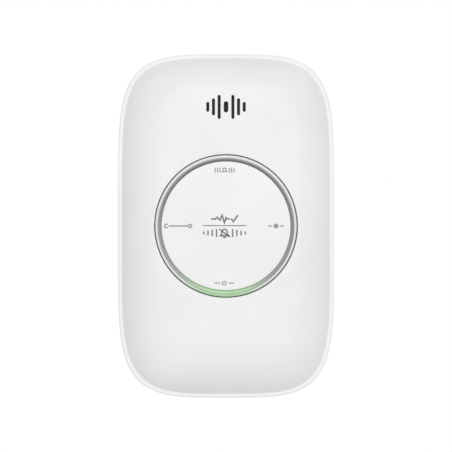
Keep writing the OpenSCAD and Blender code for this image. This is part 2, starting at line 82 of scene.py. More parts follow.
HALF_W, HALF_H = HOUSING.x[1], HOUSING.y[1]
SIDE_EXP, END_EXP = 4, 5.5
BACK_Z = HOUSING.z[0]
LIP_H, LIP_T = 1.5, 0.95
PARTING_Z = HOUSING.z[1]
FACE_Z = COVER.z[1]
RIM_W, WALL, COVER_WALL = 1.3, 2.2, 2.0
RIM_CLEARANCE = 0.15
DOME_RADIUS, FOOT_TILT = 17.5, math.radians(56)
INNER_INSET = WALL + RIM_CLEARANCE + LIP_T
SCREW_JOINT_Z = 17
RING_R, RING_GAP = 24.15, 0.4
BUTTON_FLANGE_W = 0.85
BUTTON_R = BUTTON.x[1] - BUTTON_FLANGE_W
BUTTON_CROWN = 0.25
FLANGE_TOP = 31.6
GRILLE_Y = (MESH.y[0] + MESH.y[1]) / 2
# x, width and length of each slot on one side of the middle
SLOTS = [(0, 1.55, 3.8), (2.35, 1, 8.2), (4.28, 1, 5.8), (6.22, 1, 3.35)]


# ------------------------------------------------------------------ outline and dome

def outline_angles(per_quarter=64):
    """Parameter angles that space the outline's points evenly enough, denser in the corners."""
    angles = []
    for quarter in range(4):
        for i in range(per_quarter):
            s = i / per_quarter
            angles.append(math.radians(90 * (quarter + s * s / (s * s + (1 - s) * (1 - s)))))
    return angles


ANGLES = outline_angles()


def signed_power(v, p):
    return math.copysign(abs(v) ** p, v)


def outline(inset):
    a, b = HALF_W - inset, HALF_H - inset
    return [(a * signed_power(math.cos(t), 2 / SIDE_EXP), b * signed_power(math.sin(t), 2 / END_EXP))
            for t in ANGLES]


def inset_at(x, y):
    """How far the outline has to be drawn in to pass through (x, y)."""
    x, y = abs(x), abs(y)
    lo, hi = -1.0, min(HALF_W - x, HALF_H - y) - 1e-6
    for _ in range(36):
        mid = (lo + hi) / 2
        outside = (x / (HALF_W - mid)) ** SIDE_EXP + (y / (HALF_H - mid)) ** END_EXP > 1
        lo, hi = (lo, mid) if outside else (mid, hi)
    return lo


class Dome:
    """A face that rises from inset start at a slope of tilt and rolls over an arc to lie flat at z_top."""

    def __init__(self, start, radius, tilt, z_top):
        self.start, self.radius, self.tilt, self.z_top = start, radius, tilt, z_top

    def height(self, inset):
        sine = math.sin(self.tilt) - (inset - self.start) / self.radius
        return self.z_top - self.radius * (1 - math.sqrt(1 - max(sine, 0) ** 2))

    def levels(self, last_inset, steps):
        """(inset, height) pairs from the foot to last_inset."""
        last = math.sin(self.tilt) - (last_inset - self.start) / self.radius
        last = math.asin(max(last, 0))
        result = []
        for i in range(steps + 1):
            u = self.tilt + (last - self.tilt) * i / steps
            inset = self.start + self.radius * (math.sin(self.tilt) - math.sin(u))
            result.append((inset, self.height(inset)))
        return result


INNER_TILT = math.asin(math.sin(FOOT_TILT) - (INNER_INSET - RIM_W - COVER_WALL * math.sin(FOOT_TILT))
                       / (DOME_RADIUS - COVER_WALL))
OUTER_DOME = Dome(RIM_W, DOME_RADIUS, FOOT_TILT, FACE_Z)
INNER_DOME = Dome(INNER_INSET, DOME_RADIUS - COVER_WALL, INNER_TILT, FACE_Z - COVER_WALL)


# ------------------------------------------------------------------ mesh helpers

class Shape:
    """A mesh under construction, in lying millimetres."""

    def __init__(self):
        self.bm = bmesh.new()

    def ring(self, points):
        return [self.bm.verts.new(p) for p in points]

    def bridge(self, lower, upper):
        """Quads between two closed rings of equal length."""
        n = len(lower)
        for i in range(n):
            j = (i + 1) % n
            self.bm.faces.new((lower[i], lower[j], upper[j], upper[i]))

    def cap(self, ring):
        self.bm.faces.new(ring)

    def stack(self, rings):
        for lower, upper in zip(rings, rings[1:]):
            self.bridge(lower, upper)

    def closed_stack(self, rings):
        self.stack(rings)
        self.cap(rings[0])
        self.cap(rings[-1])
        return self

    def lathe(self, section, centre=(0, 0), steps=96, closed=False):
        """Turns (radius, height) points round the vertical through centre. A closed section makes a ring."""
        columns = []
        for r, z in section:
            if r < 1e-6:
                columns.append([self.bm.verts.new((centre[0], centre[1], z))])
            else:
                columns.append(self.ring([(x, y, z) for x, y in circle(r, steps, centre)]))
        pairs = list(zip(columns, columns[1:]))
        if closed:
            pairs.append((columns[-1], columns[0]))
        for a, b in pairs:
            if len(a) == 1 and len(b) == 1:
                continue
            if len(a) == 1 or len(b) == 1:
                tip, rim = (a[0], b) if len(a) == 1 else (b[0], a)
                for k in range(steps):
                    self.bm.faces.new((tip, rim[k], rim[(k + 1) % steps]))
            else:
                self.bridge(a, b)
        return self

    def prism(self, loop, z_0, z_1, edge=0.0):
        """A solid of a convex-ish loop's outline, with its top and bottom edges eased by edge."""
        rings = []
        steps = [(edge, z_0), (edge * 0.3, z_0 + edge * 0.3), (0, z_0 + edge), (0, z_1 - edge),
                 (edge * 0.3, z_1 - edge * 0.3), (edge, z_1)] if edge else [(0, z_0), (0, z_1)]
        for inward, z in steps:
            points = loop if inward == 0 else shrunk(loop, inward)
            rings.append(self.ring([(x, y, z) for x, y in points]))
        return self.closed_stack(rings)

    def sweep(self, path, r, sides=10):
        """A round wire of radius r along path."""
        rings = []
        across = None
        for i, p in enumerate(path):
            ahead = (path[min(i + 1, len(path) - 1)] - path[max(i - 1, 0)]).normalized()
            if across is None:
                across = ahead.orthogonal().normalized()
            across = (across - ahead * across.dot(ahead)).normalized()
            side = ahead.cross(across)
            rings.append(self.ring([p + (across * a + side * b) * r for a, b in circle(1, sides)]))
        return self.closed_stack(rings)

    def extrude(self, profile, place, width):
        """Fills profile, a loop of (along, up), and gives it a width. place maps (along, across, up)."""
        return self.closed_stack([self.ring([place(a, across, up) for a, up in profile])
                                  for across in (-width / 2, width / 2)])

    def stroke(self, path, width, surface, z_0, z_1, closed=False):
        """A flat line of width along path, from z_0 to z_1 above surface(x, y)."""
        points = [Vector(p) for p in (divided(path, 0.7) if closed else divided_open(path, 0.7))]
        n = len(points)
        sections = []
        for i, p in enumerate(points):
            before = points[i - 1] if i or closed else p
            after = points[(i + 1) % n] if i < n - 1 or closed else p
            directions = [d.normalized() for d in (p - before, after - p) if d.length > 1e-9]
            mean = sum(directions, Vector((0, 0))).normalized()
            out = Vector((-mean.y, mean.x)) * (width / 2 / max(abs(mean.dot(directions[0])), 0.5))
            a, b = p + out, p - out
            sections.append(self.ring([(a.x, a.y, surface(*a) + z_0), (b.x, b.y, surface(*b) + z_0),
                                       (b.x, b.y, surface(*b) + z_1), (a.x, a.y, surface(*a) + z_1)]))
        if closed:
            sections.append(sections[0])
            self.stack(sections)
        else:
            self.closed_stack(sections)
        return self

    def add(self, data, places):
        """Adds copies of a mesh at each place, a matrix or a point."""
        for place in places:
            copy = data.copy()
            copy.transform(place if isinstance(place, Matrix) else Matrix.Translation(place))
            self.bm.from_mesh(copy)
            bpy.data.meshes.remove(copy)
        return self

    def mesh(self, name):
        self.bm.normal_update()
        bmesh.ops.recalc_face_normals(self.bm, faces=self.bm.faces)
        data = bpy.data.meshes.new(name)
        self.bm.to_mesh(data)
        self.bm.free()
        return data


def shrunk(loop, inward):
    """The loop moved inward by a distance, along the mean normal at each point. Loops run anticlockwise."""
    n = len(loop)
    points = []
    for i in range(n):
        before, here, after = Vector(loop[i - 1]), Vector(loop[i]), Vector(loop[(i + 1) % n])
        normals = []
        for a, b in ((before, here), (here, after)):
            along = b - a
            if along.length > 1e-9:
                normals.append(Vector((-along.y, along.x)).normalized())
        mean = sum(normals, Vector((0, 0)))
        if mean.length < 1e-9:
            points.append(tuple(here))
            continue
        mean.normalize()
        reach = inward / max(mean.dot(normals[0]), 0.35)
        points.append(tuple(here + mean * reach))
    return points


def rounded_rect(w, h, r, at=(0, 0), arc=8):
    """An anticlockwise rectangle with round corners. r = w / 2 makes a round-ended slot."""
    loop = []
    for k, (sx, sy) in enumerate(((1, 1), (-1, 1), (-1, -1), (1, -1))):
        for i in range(arc + 1):
            u = math.radians(90 * (k + i / arc))
            p = (at[0] + sx * (w / 2 - r) + r * math.cos(u), at[1] + sy * (h / 2 - r) + r * math.sin(u))
            if not loop or (Vector(p) - Vector(loop[-1])).length > 1e-6:
                loop.append(p)
    if (Vector(loop[0]) - Vector(loop[-1])).length < 1e-6:
        loop.pop()
    return loop


def divided(loop, longest):
    """The loop with points added so that no side is longer than longest."""
    result = []
    for i, p in enumerate(loop):
        a, b = Vector(p), Vector(loop[(i + 1) % len(loop)])
        parts = max(1, math.ceil((b - a).length / longest))
        result += [tuple(a.lerp(b, k / parts)) for k in range(parts)]
    return result


def divided_open(path, longest):
    """An open path with points added so that no step is longer than longest."""
    result = []
    for p, q in zip(path, path[1:]):
        a, b = Vector(p), Vector(q)
        parts = max(1, math.ceil((b - a).length / longest))
        result += [tuple(a.lerp(b, k / parts)) for k in range(parts)]
    return [*result, path[-1]]


def arc(r, start, end, at=(0, 0), steps=14):
    """Points on an arc, its angles in degrees."""
    angles = [math.radians(start + (end - start) * k / steps) for k in range(steps + 1)]
    return [(at[0] + r * math.cos(u), at[1] + r * math.sin(u)) for u in angles]


def circle(r, steps, at=(0, 0)):
    return [(at[0] + r * math.cos(TAU * k / steps), at[1] + r * math.sin(TAU * k / steps))
            for k in range(steps)]


def inside(loop, x, y):
    """True if (x, y) lies inside the closed loop."""
    result = False
    for i in range(len(loop)):
        (x_1, y_1), (x_2, y_2) = loop[i - 1], loop[i]
        if (y_1 > y) != (y_2 > y) and x < (x_2 - x_1) * (y - y_1) / (y_2 - y_1) + x_1:
            result = not result
    return result


def tiling(outer, holes, pitch, keep_off):
    """Triangles that fill outer around the holes: (points, triangles), the loops' points first."""
    points, edges = [], []
    for loop in [outer, *holes]:
        first = len(points)
        points += loop
        edges += [(first + i, first + (i + 1) % len(loop)) for i in range(len(loop))]
    border = [Vector(p) for p in points]
    reach = max(abs(p[1]) for p in outer)
    rows = int(reach / pitch)
    for row in range(-rows, rows + 1):
        for column in range(-rows, rows + 1):
            x, y = (column + 0.5 * (row % 2)) * pitch, row * pitch * 0.87
            if not inside(outer, x, y) or any(inside(h, x, y) for h in holes):
                continue
            if min((Vector((x, y)) - b).length for b in border) > keep_off:
                points.append((x, y))
    found = delaunay_2d_cdt([Vector(p) for p in points], edges, [], 0, 1e-5)
    made, faces = found[0], found[2]
    triangles = []
    for f in faces:
        x = sum(made[i].x for i in f) / 3
        y = sum(made[i].y for i in f) / 3
        if inside(outer, x, y) and not any(inside(h, x, y) for h in holes):
            triangles.append([found[3][i][0] for i in f])
    return points, triangles


# ------------------------------------------------------------------ objects

def link(data, name):
    piece = bpy.data.objects.new(name, data)
    bpy.context.scene.collection.objects.link(piece)
    return piece


def smooth(data, degrees=35):
    data.polygons.foreach_set("use_smooth", [True] * len(data.polygons))
    data.set_sharp_from_angle(angle=math.radians(degrees))


def weigh(piece):
    """Lets the large flat faces set the normals along their edges."""
    weighted = piece.modifiers.new("weighted", "WEIGHTED_NORMAL")
    weighted.keep_sharp = True
    weighted.weight = 80


def soften(piece, width, degrees=50, segments=2):
    """Rounds the sharp edges by width millimetres."""
    bevel = piece.modifiers.new("soften", "BEVEL")
    bevel.width = width * MM
    bevel.segments = segments
    bevel.limit_method = "ANGLE"
    bevel.angle_limit = math.radians(degrees)


def add_piece(shape, name, body, slot, material, replaces=(), degrees=35, bevel=0.0):
    """Stands a shape or lying mesh up as a finished piece on a body. bevel eases its edges."""
    data = shape.mesh(name) if isinstance(shape, Shape) else shape
    data.name = name
    data.transform(STAND)
    smooth(data, degrees)
    data.materials.clear()
    data.materials.append(material)
    piece = link(data, name)
    if bevel:
        soften(piece, bevel)
        weigh(piece)
    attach(piece, body)
    if replaces:
        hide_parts(*replaces)
    return piece


def level(z):
    """A flat surface for strokes to lie on."""
    return lambda x, y: z


def combine(base, *steps):
    """Carves or joins closed meshes in order. Each step is (operation, shape). Returns the resulting mesh."""
    data = base.mesh("base") if isinstance(base, Shape) else base
    holder = link(data, "holder")
    tools = []
    for operation, shape in steps:
        tool = link(shape.mesh("tool"), "tool")
        tools.append(tool)
        modifier = holder.modifiers.new("step", "BOOLEAN")
        modifier.operation = operation
        modifier.solver = "MANIFOLD"
        modifier.object = tool
    bpy.context.view_layer.update()
    evaluated = holder.evaluated_get(bpy.context.evaluated_depsgraph_get())
    result = bpy.data.meshes.new_from_object(evaluated)
    for o in [holder, *tools]:
        bpy.data.objects.remove(o)
    return result


# ------------------------------------------------------------------ materials

def srgb(value):
    """The linear value of an 8-bit grey."""
    v = value / 255
    return v / 12.92 if v <= 0.04045 else ((v + 0.055) / 1.055) ** 2.4


class Nodes:
    """A material's node tree, with short names for what the materials here share."""

    def __init__(self, name):
        self.material = bpy.data.materials.new(name)
        self.material.use_nodes = True
        self.tree = self.material.node_tree
        self.shader = self.tree.nodes["Principled BSDF"]
        self.place = self.tree.nodes.new("ShaderNodeTexCoord").outputs["Object"]

    def set(self, **values):
        """Constants on the shader's own sockets; underscores stand for spaces."""
        for key, value in values.items():
            self.shader.inputs[key.replace("_", " ")].default_value = value
        return self

    def link(self, output, socket):
        self.tree.links.new(output, self.shader.inputs[socket] if isinstance(socket, str) else socket)

    def node(self, kind, **settings):
        made = self.tree.nodes.new(kind)
        for key, value in settings.items():
            setattr(made, key, value)
        return made

    def noise(self, size, detail=2.0, roughness=0.5):
        """Noise whose grain is size millimetres."""
        made = self.node("ShaderNodeTexNoise")
        made.inputs["Scale"].default_value = 1 / (size * MM)
        made.inputs["Detail"].default_value = detail
        made.inputs["Roughness"].default_value = roughness
        self.tree.links.new(self.place, made.inputs["Vector"])
        return made.outputs["Fac"]

    def ramp(self, source, *stops):
        """A colour ramp of (position, grey or colour) stops."""
        made = self.node("ShaderNodeValToRGB")
        elements = made.color_ramp.elements
        while len(elements) < len(stops):
            elements.new(0.5)
        for element, (position, colour) in zip(elements, stops):
            element.position = position
            element.color = (*(colour if isinstance(colour, (tuple, list)) else (colour,) * 3), 1)
        self.tree.links.new(source, made.inputs["Fac"])
        return made.outputs["Color"]

    def math(self, operation, *values, clamp=False):
        made = self.node("ShaderNodeMath", operation=operation, use_clamp=clamp)
        for socket, value in zip(made.inputs, values):
            if isinstance(value, (int, float)):
                socket.default_value = value
            else:
                self.tree.links.new(value, socket)
        return made.outputs[0]

    def mix(self, share, a, b, blend="MIX"):
        made = self.node("ShaderNodeMix", data_type="RGBA", blend_type=blend)
        for socket, value in ((made.inputs["Factor"], share), (made.inputs["A"], a), (made.inputs["B"], b)):
            if isinstance(value, (int, float)):
                socket.default_value = value
            elif isinstance(value, (tuple, list)):
                socket.default_value = (*value, 1) if len(value) == 3 else value
            else:
                self.tree.links.new(value, socket)
        return made.outputs["Result"]

    def bump(self, source, height, strength=1.0):
        """Relief of height millimetres."""
        made = self.node("ShaderNodeBump")
        made.inputs["Distance"].default_value = height * MM
        made.inputs["Strength"].default_value = strength
        self.tree.links.new(source, made.inputs["Height"])
        self.link(made.outputs["Normal"], "Normal")

    def axes(self):
        """The X, Y and Z of the place, in metres."""
        made = self.node("ShaderNodeSeparateXYZ")
        self.tree.links.new(self.place, made.inputs[0])
        return made.outputs

    def radius(self, x, z):
        """The distance in millimetres from the axis through the middle of the button."""
        squares = self.math("ADD", self.math("MULTIPLY", x, x), self.math("MULTIPLY", z, z))
        return self.math("MULTIPLY", self.math("POWER", squares, 0.5), 1 / MM)


def shaded(colour, factor):
    return tuple(min(c * factor, 1) for c in colour)


def plastic(name, colour, roughness, grain=0.35, relief=0.012, drift=0.02, **extra):
    """Moulded plastic: a fine spark texture, and a slow drift of colour and gloss."""
    n = Nodes(name).set(Roughness=roughness, **extra)
    drift_map = n.noise(24, detail=3)
    tones = (0.3, shaded(colour, 1 - drift)), (0.7, shaded(colour, 1 + drift))
    n.link(n.ramp(drift_map, *tones), "Base Color")
    fine = n.noise(grain, detail=3, roughness=0.6)
    n.link(n.math("MULTIPLY_ADD", fine, 0.14, roughness - 0.07), "Roughness")
    n.bump(fine, relief)
    return n.material


def metal(name, colour, roughness, grain=0.15, relief=0.004, streak=None):
    """Bare or plated metal with fine scratches, drawn out along streak where one is given."""
    n = Nodes(name).set(Metallic=1.0)
    if streak:
        stretch = n.node("ShaderNodeMapping")
        stretch.inputs["Scale"].default_value = streak
        n.tree.links.new(n.place, stretch.inputs["Vector"])
        n.place = stretch.outputs["Vector"]
    fine = n.noise(grain, detail=4, roughness=0.65)
    n.link(n.ramp(fine, (0.3, shaded(colour, 0.86)), (0.7, shaded(colour, 1.06))), "Base Color")
    n.link(n.ramp(fine, (0.25, roughness - 0.08), (0.75, roughness + 0.12)), "Roughness")
    n.bump(fine, relief)
    return n.material


SHELL = plastic("shell_plastic", (0.86, 0.86, 0.86), 0.42, Specular_IOR_Level=0.35)
# painted light: the housing's copy of the cover's plastic, a touch lighter to offset the shade on its rim
# beside the cover; the door and bay marks share it
REAR_SHELL_PAINTED_LIGHTER = plastic("rear_shell_painted_lighter", (0.87, 0.87, 0.87), 0.42, Specular_IOR_Level=0.35)


# ------------------------------------------------------------------ front cover

EDGE = 0.12          # round on the edge of the button opening
SLOT_EDGE = 0.12     # round on the slots' edges
FLAT_FROM = 11.2     # inset where the dome's rings give way to the tiled middle


def cover_opening():
    return RING_R + RING_GAP


def slot_places():
    for x, w, h in SLOTS:
        for way in ((1,) if x == 0 else (-1, 1)):
            yield way * x, w, h


def slot_loop(x, w, h, outward=0.0):
    w, h = w + 2 * outward, h + 2 * outward
    return rounded_rect(w, h, w / 2, (x, GRILLE_Y), arc=7)


def front_cover():
    shape = Shape()
    outer_levels = OUTER_DOME.levels(FLAT_FROM, 26)
    outer = [shape.ring([(x, y, z) for x, y in outline(inset)]) for inset, z in outer_levels]
    shape.stack(outer)
    inner_levels = [(FLAT_FROM, INNER_DOME.height(FLAT_FROM))]
    inner_levels += reversed(INNER_DOME.levels(FLAT_FROM - 0.5, 12))
    lip_inset = WALL + RIM_CLEARANCE
    foot = PARTING_Z - LIP_H
    inner_levels += [(INNER_INSET, foot + 0.2), (INNER_INSET - 0.2, foot), (lip_inset + 0.2, foot),
                     (lip_inset, foot + 0.2), (lip_inset, PARTING_Z)]
    inner = [shape.ring([(x, y, z) for x, y in outline(inset)]) for inset, z in inner_levels]
    shape.stack(inner)
    shape.bridge(inner[-1], outer[0])

    # the middle: the same tiles above and below, joined round each opening
    opening = cover_opening()
    holes = [circle(opening + EDGE, 224)]
    holes += [divided(slot_loop(x, w, h, SLOT_EDGE), 0.8) for x, w, h in slot_places()]
    rim = outline(FLAT_FROM)
    points, triangles = tiling(rim, holes, 1.3, 0.55)
    n = len(rim)
    rings = {"top": outer[-1], "bottom": inner[0]}
    heights = {"top": OUTER_DOME, "bottom": INNER_DOME}
    sheets = {}
    for side, dome in heights.items():
        verts = list(rings[side])
        verts += [shape.bm.verts.new((x, y, dome.height(inset_at(x, y)))) for x, y in points[n:]]
        for a, b, c in triangles:
            shape.bm.faces.new((verts[a], verts[b], verts[c]))
        sheets[side] = verts

    first = n
    for k, hole in enumerate(holes):
        top = sheets["top"][first:first + len(hole)]
        bottom = sheets["bottom"][first:first + len(hole)]
        first += len(hole)
        edge = EDGE if k == 0 else SLOT_EDGE
        inward = [shrunk(hole, edge * math.sin(math.radians(u))) for u in (22.5, 45, 67.5, 90)]
        rings_down = [top]
        for loop, u in zip(inward, (22.5, 45, 67.5, 90)):
            drop = edge * (1 - math.cos(math.radians(u)))
            rings_down.append(shape.ring([(p[0], p[1], v.co.z - drop) for p, v in zip(loop, top)]))
        rings_down.append(shape.ring([(p[0], p[1], v.co.z + 0.02) for p, v in zip(inward[-1], bottom)]))
        rings_down.append(bottom)
        shape.stack(rings_down)

    # the land that the ring's flange stops against, and the screw bosses
    shape.lathe([(opening, FLANGE_TOP + 0.05), (opening + 1.5, FLANGE_TOP + 0.05),
                 (opening + 1.5, FACE_Z - COVER_WALL + 0.2), (opening, FACE_Z - COVER_WALL + 0.2)],
                steps=160, closed=True)
    for x, y in COVER_SCREWS:
        shape.lathe([(1.3, SCREW_JOINT_Z + 0.1), (2.7, SCREW_JOINT_Z + 0.1), (2.9, SCREW_JOINT_Z + 0.3),
                     (2.9, boss_top(x, y)), (0, boss_top(x, y)), (0, BORE_END_Z), (1.3, BORE_END_Z)],
                    (x, y), steps=40, closed=True)
    return shape


COVER_SCREWS = [(-29.5, 41), (29.5, 41), (-31.3, -6), (31.3, -6)]
BORE_END_Z = 24.5    # blind end of the bores in the cover's screw bosses


def boss_top(x, y):
    """Where a boss at (x, y) has run into the cover, all round."""
    return INNER_DOME.height(inset_at(abs(x) + 2, abs(y))) + 0.9


add_piece(front_cover(), "cover_shell", "alarm", "shell_plastic", SHELL, ("front_cover",))


# ------------------------------------------------------------------ rear housing

BACK_ROUND, RIM_ROUND, FLOOR_Z = 2.2, 0.4, 2.6
RECESS_Z = 2.8
LIFT = 4.5
HOOK_X, HOOK_YS, HOOK_W, HOOK_T = 19, (6, 36), 6, 2
BAY_HALF, BAY_Y, BAY_H, BAY_WALL, BAY_FLOOR = 27.5, -30.75, 31.5, 1.7, 18.7
LEDGE = 1.2
CELL_OFF = 7.55      # from the middle of the bay to the middle of a cell


def rod(r, z_0, z_1, at=(0, 0), steps=48):
    return Shape().lathe([(0, z_0), (r, z_0), (r, z_1), (0, z_1)], at, steps)


def turned(section, at=(0, 0), steps=96, base=0, closed=False):
    """A (radius, height) section turned about the vertical through at, its heights counted from base."""
    return Shape().lathe([(r, base + z) for r, z in section], at, steps, closed)


def slab(w, h, r, z_0, z_1, at=(0, 0)):
    return Shape().prism(rounded_rect(w, h, r, at), z_0, z_1)


def block(w, h, z_0, z_1, at=(0, 0)):
    x, y = at
    return Shape().prism([(x + w / 2, y + h / 2), (x - w / 2, y + h / 2), (x - w / 2, y - h / 2),
                          (x + w / 2, y - h / 2)], z_0, z_1)


def rear_housing():
    shape = Shape()
    levels = []
    for i in range(9):
        u = math.radians(90 * i / 8)
        levels.append((BACK_ROUND * (1 - math.sin(u)), BACK_Z + BACK_ROUND * (1 - math.cos(u))))
    for i in range(7):
        u = math.radians(90 * i / 6)
        levels.append((RIM_ROUND * (1 - math.cos(u)), PARTING_Z - RIM_ROUND * (1 - math.sin(u))))
    levels += [(WALL - 0.15, PARTING_Z), (WALL, PARTING_Z - 0.15), (WALL, FLOOR_Z)]
    shape.closed_stack([shape.ring([(x, y, z) for x, y in outline(i)]) for i, z in levels])
    return shape


BRACKET_Y = (BRACKET.y[0] + BRACKET.y[1]) / 2
BRACKET_W, BRACKET_H = BRACKET.x[1] - BRACKET.x[0], BRACKET.y[1] - BRACKET.y[0]
DOOR_TOP = DOOR.y[1]
HINGE_Y, HINGE_Z, HINGE_R, PIN_R = BAY_Y - BAY_H / 2 + 0.1, BACK_Z + 1.3, 1.3, 0.9
DOOR_HALF = BAY_HALF + LEDGE - 0.3
DOOR_T = 1.8


def lying_rod(r, half, y, z, steps=40):
    """A cylinder along X, from -half to half."""
    shape = Shape()
    rings = []
    for x in (-half, half):
        rings.append(shape.ring([(x, y + r * math.cos(TAU * k / steps), z + r * math.sin(TAU * k / steps))
                                 for k in range(steps)]))
    shape.closed_stack(rings)
    return shape


def rear_steps():
    yield "UNION", slab(BRACKET_W + 5, BRACKET_H + LIFT + 5, 5, FLOOR_Z - 0.2, RECESS_Z + 2,
                        (0, BRACKET_Y - LIFT / 2))
    yield "UNION", slab(2 * (BAY_HALF + BAY_WALL + LEDGE), BAY_H + 2 * BAY_WALL, 4, BACK_Z + 0.1,
                        BAY_FLOOR + 1.2, (0, BAY_Y))
    for p in COVER_SCREWS:
        yield "UNION", rod(3.3, FLOOR_Z - 0.2, SCREW_JOINT_Z - 0.1, p)
    for p in BOARD_POSTS:
        yield "UNION", rod(2.4, FLOOR_Z - 0.2, BOARD.z[0], p)
    yield "DIFFERENCE", slab(BRACKET_W + 1.2, BRACKET_H + LIFT + 1.2, 5, BACK_Z - 1, RECESS_Z,
                             (0, BRACKET_Y - LIFT / 2))
    for sx in (-1, 1):
        for y in HOOK_YS:
            yield "DIFFERENCE", block(HOOK_W + 0.6, HOOK_T + LIFT + 0.2, RECESS_Z - 0.5, RECESS_Z + 4,
                                      (sx * HOOK_X, y + (HOOK_T - LIFT) / 2))
    yield "DIFFERENCE", slab(2 * BAY_HALF, BAY_H, 1, BACK_Z - 1, BAY_FLOOR, (0, BAY_Y))
    for way in (-1, 1):
        yield "DIFFERENCE", block(0.6, 3.2, BAY_FLOOR - 1, BAY_FLOOR + 2,
                                  (0.2 - BAY_HALF, BAY_Y + way * CELL_OFF))
    low, high = HINGE_Y - HINGE_R - 0.3, DOOR_TOP + 0.3
    yield "DIFFERENCE", block(2 * (DOOR_HALF + 0.3), high - low, BACK_Z - 1, BACK_Z + DOOR_T,
                              (0, (low + high) / 2))
    yield "DIFFERENCE", lying_rod(HINGE_R + 0.2, DOOR_HALF + 0.3, HINGE_Y, HINGE_Z)
    yield "DIFFERENCE", lying_rod(PIN_R + 0.06, DOOR_HALF + 1.6, HINGE_Y, HINGE_Z)
    for i in range(-4, 5):
        for way in (-1, 1):
            yield "DIFFERENCE", vent(i * 3.2, way)
    for p in COVER_SCREWS:
        yield "DIFFERENCE", rod(2.6, BACK_Z - 1, 12, p)
        yield "DIFFERENCE", rod(1.45, 11.5, SCREW_JOINT_Z + 1, p)
    for p in BOARD_POSTS:
        yield "DIFFERENCE", rod(1.05, BOARD.z[0] - 7, BOARD.z[0] + 1, p)


BOARD_POSTS = [(-20, 49.4), (20, 49.4), (-20, -50.2), (20, -50.2)]


def vent(x, way):
    """A round-ended slot through the top or bottom wall."""
    shape = Shape()
    loop = rounded_rect(1.2, 7, 0.6, (x, 9.5), arc=6)
    rings = []
    for y in (way * (HALF_H + 1), way * (HALF_H - 3.2)):
        rings.append(shape.ring([(px, y, pz) for px, pz in loop]))
    shape.closed_stack(rings)
    return shape


housing = combine(rear_housing(), *rear_steps())
add_piece(housing, "rear_shell", "alarm", "shell_plastic", REAR_SHELL_PAINTED_LIGHTER, ("rear_housing",), bevel=0.15)


# ------------------------------------------------------------------ light ring

RING_STEPS = 224
RING_INNER = BUTTON_R + 0.14
LED_R = 23.9


def round_legs(shape, w, h, z_0, z_1, orbit, angles, edge=0.15):
    """Bars at an orbit, their width w lying along the radius."""
    for degrees in angles:
        u = math.radians(degrees)
        loop = [(orbit * math.cos(u) + x * math.cos(u) - y * math.sin(u),
                 orbit * math.sin(u) + x * math.sin(u) + y * math.cos(u))
                for x, y in rounded_rect(w, h, 0.3, arc=4)]
        shape.prism(loop, z_0, z_1, edge)


def light_ring():
    top = RING.z[1]
    flange_r = RING.x[1]
    flange_z = FLANGE_TOP - 1.2
    section = [(23.3, 27.2), (24.9, 27.2), (24.9, flange_z), (flange_r, flange_z),
               (flange_r, FLANGE_TOP), (RING_R, FLANGE_TOP)]
    for u in (0, 30, 60, 90):
        a = math.radians(u)
        section.append((RING_R - 0.2 * (1 - math.cos(a)), top - 0.2 * (1 - math.sin(a))))
    # the white land steps down to a bead, grey with painted shade, which rolls over into the groove beside
    # the button
    section += [(RING_R - 0.6, top), (RING_R - 0.7, top - 0.03), (RING_R - 0.85, top - 0.16),
                (RING_R - 0.95, top - 0.2), (RING_R - 1.2, top - 0.22)]
    bead = 0.42
    for i in range(7):
        u = math.radians(90 * i / 6)
        section.append((RING_INNER + bead * (1 - math.sin(u)), top - 0.25 - bead * (1 - math.cos(u))))
    section += [(RING_INNER, flange_z + 0.5), (23.3, flange_z + 0.5)]
    shape = Shape().lathe(section, steps=RING_STEPS, closed=True)
    round_legs(shape, 2, 4, 24.3, 27.4, LED_R + 0.1, (0, 90, 180, 270))
    return shape


GLOW = [(0.05, 1.0), (0.11, 0.85), (0.165, 0.4), (0.25, 0.0)]


def turn_from_foot(n, x, z):
    """The angle from the middle of the glow, a little left of the foot: 0 there and 1 at the head."""
    angle = n.math("ARCTAN2", n.math("ABSOLUTE", n.math("ADD", x, 0.0012)), n.math("MULTIPLY", z, -1))
    return n.math("DIVIDE", angle, math.pi, clamp=True)


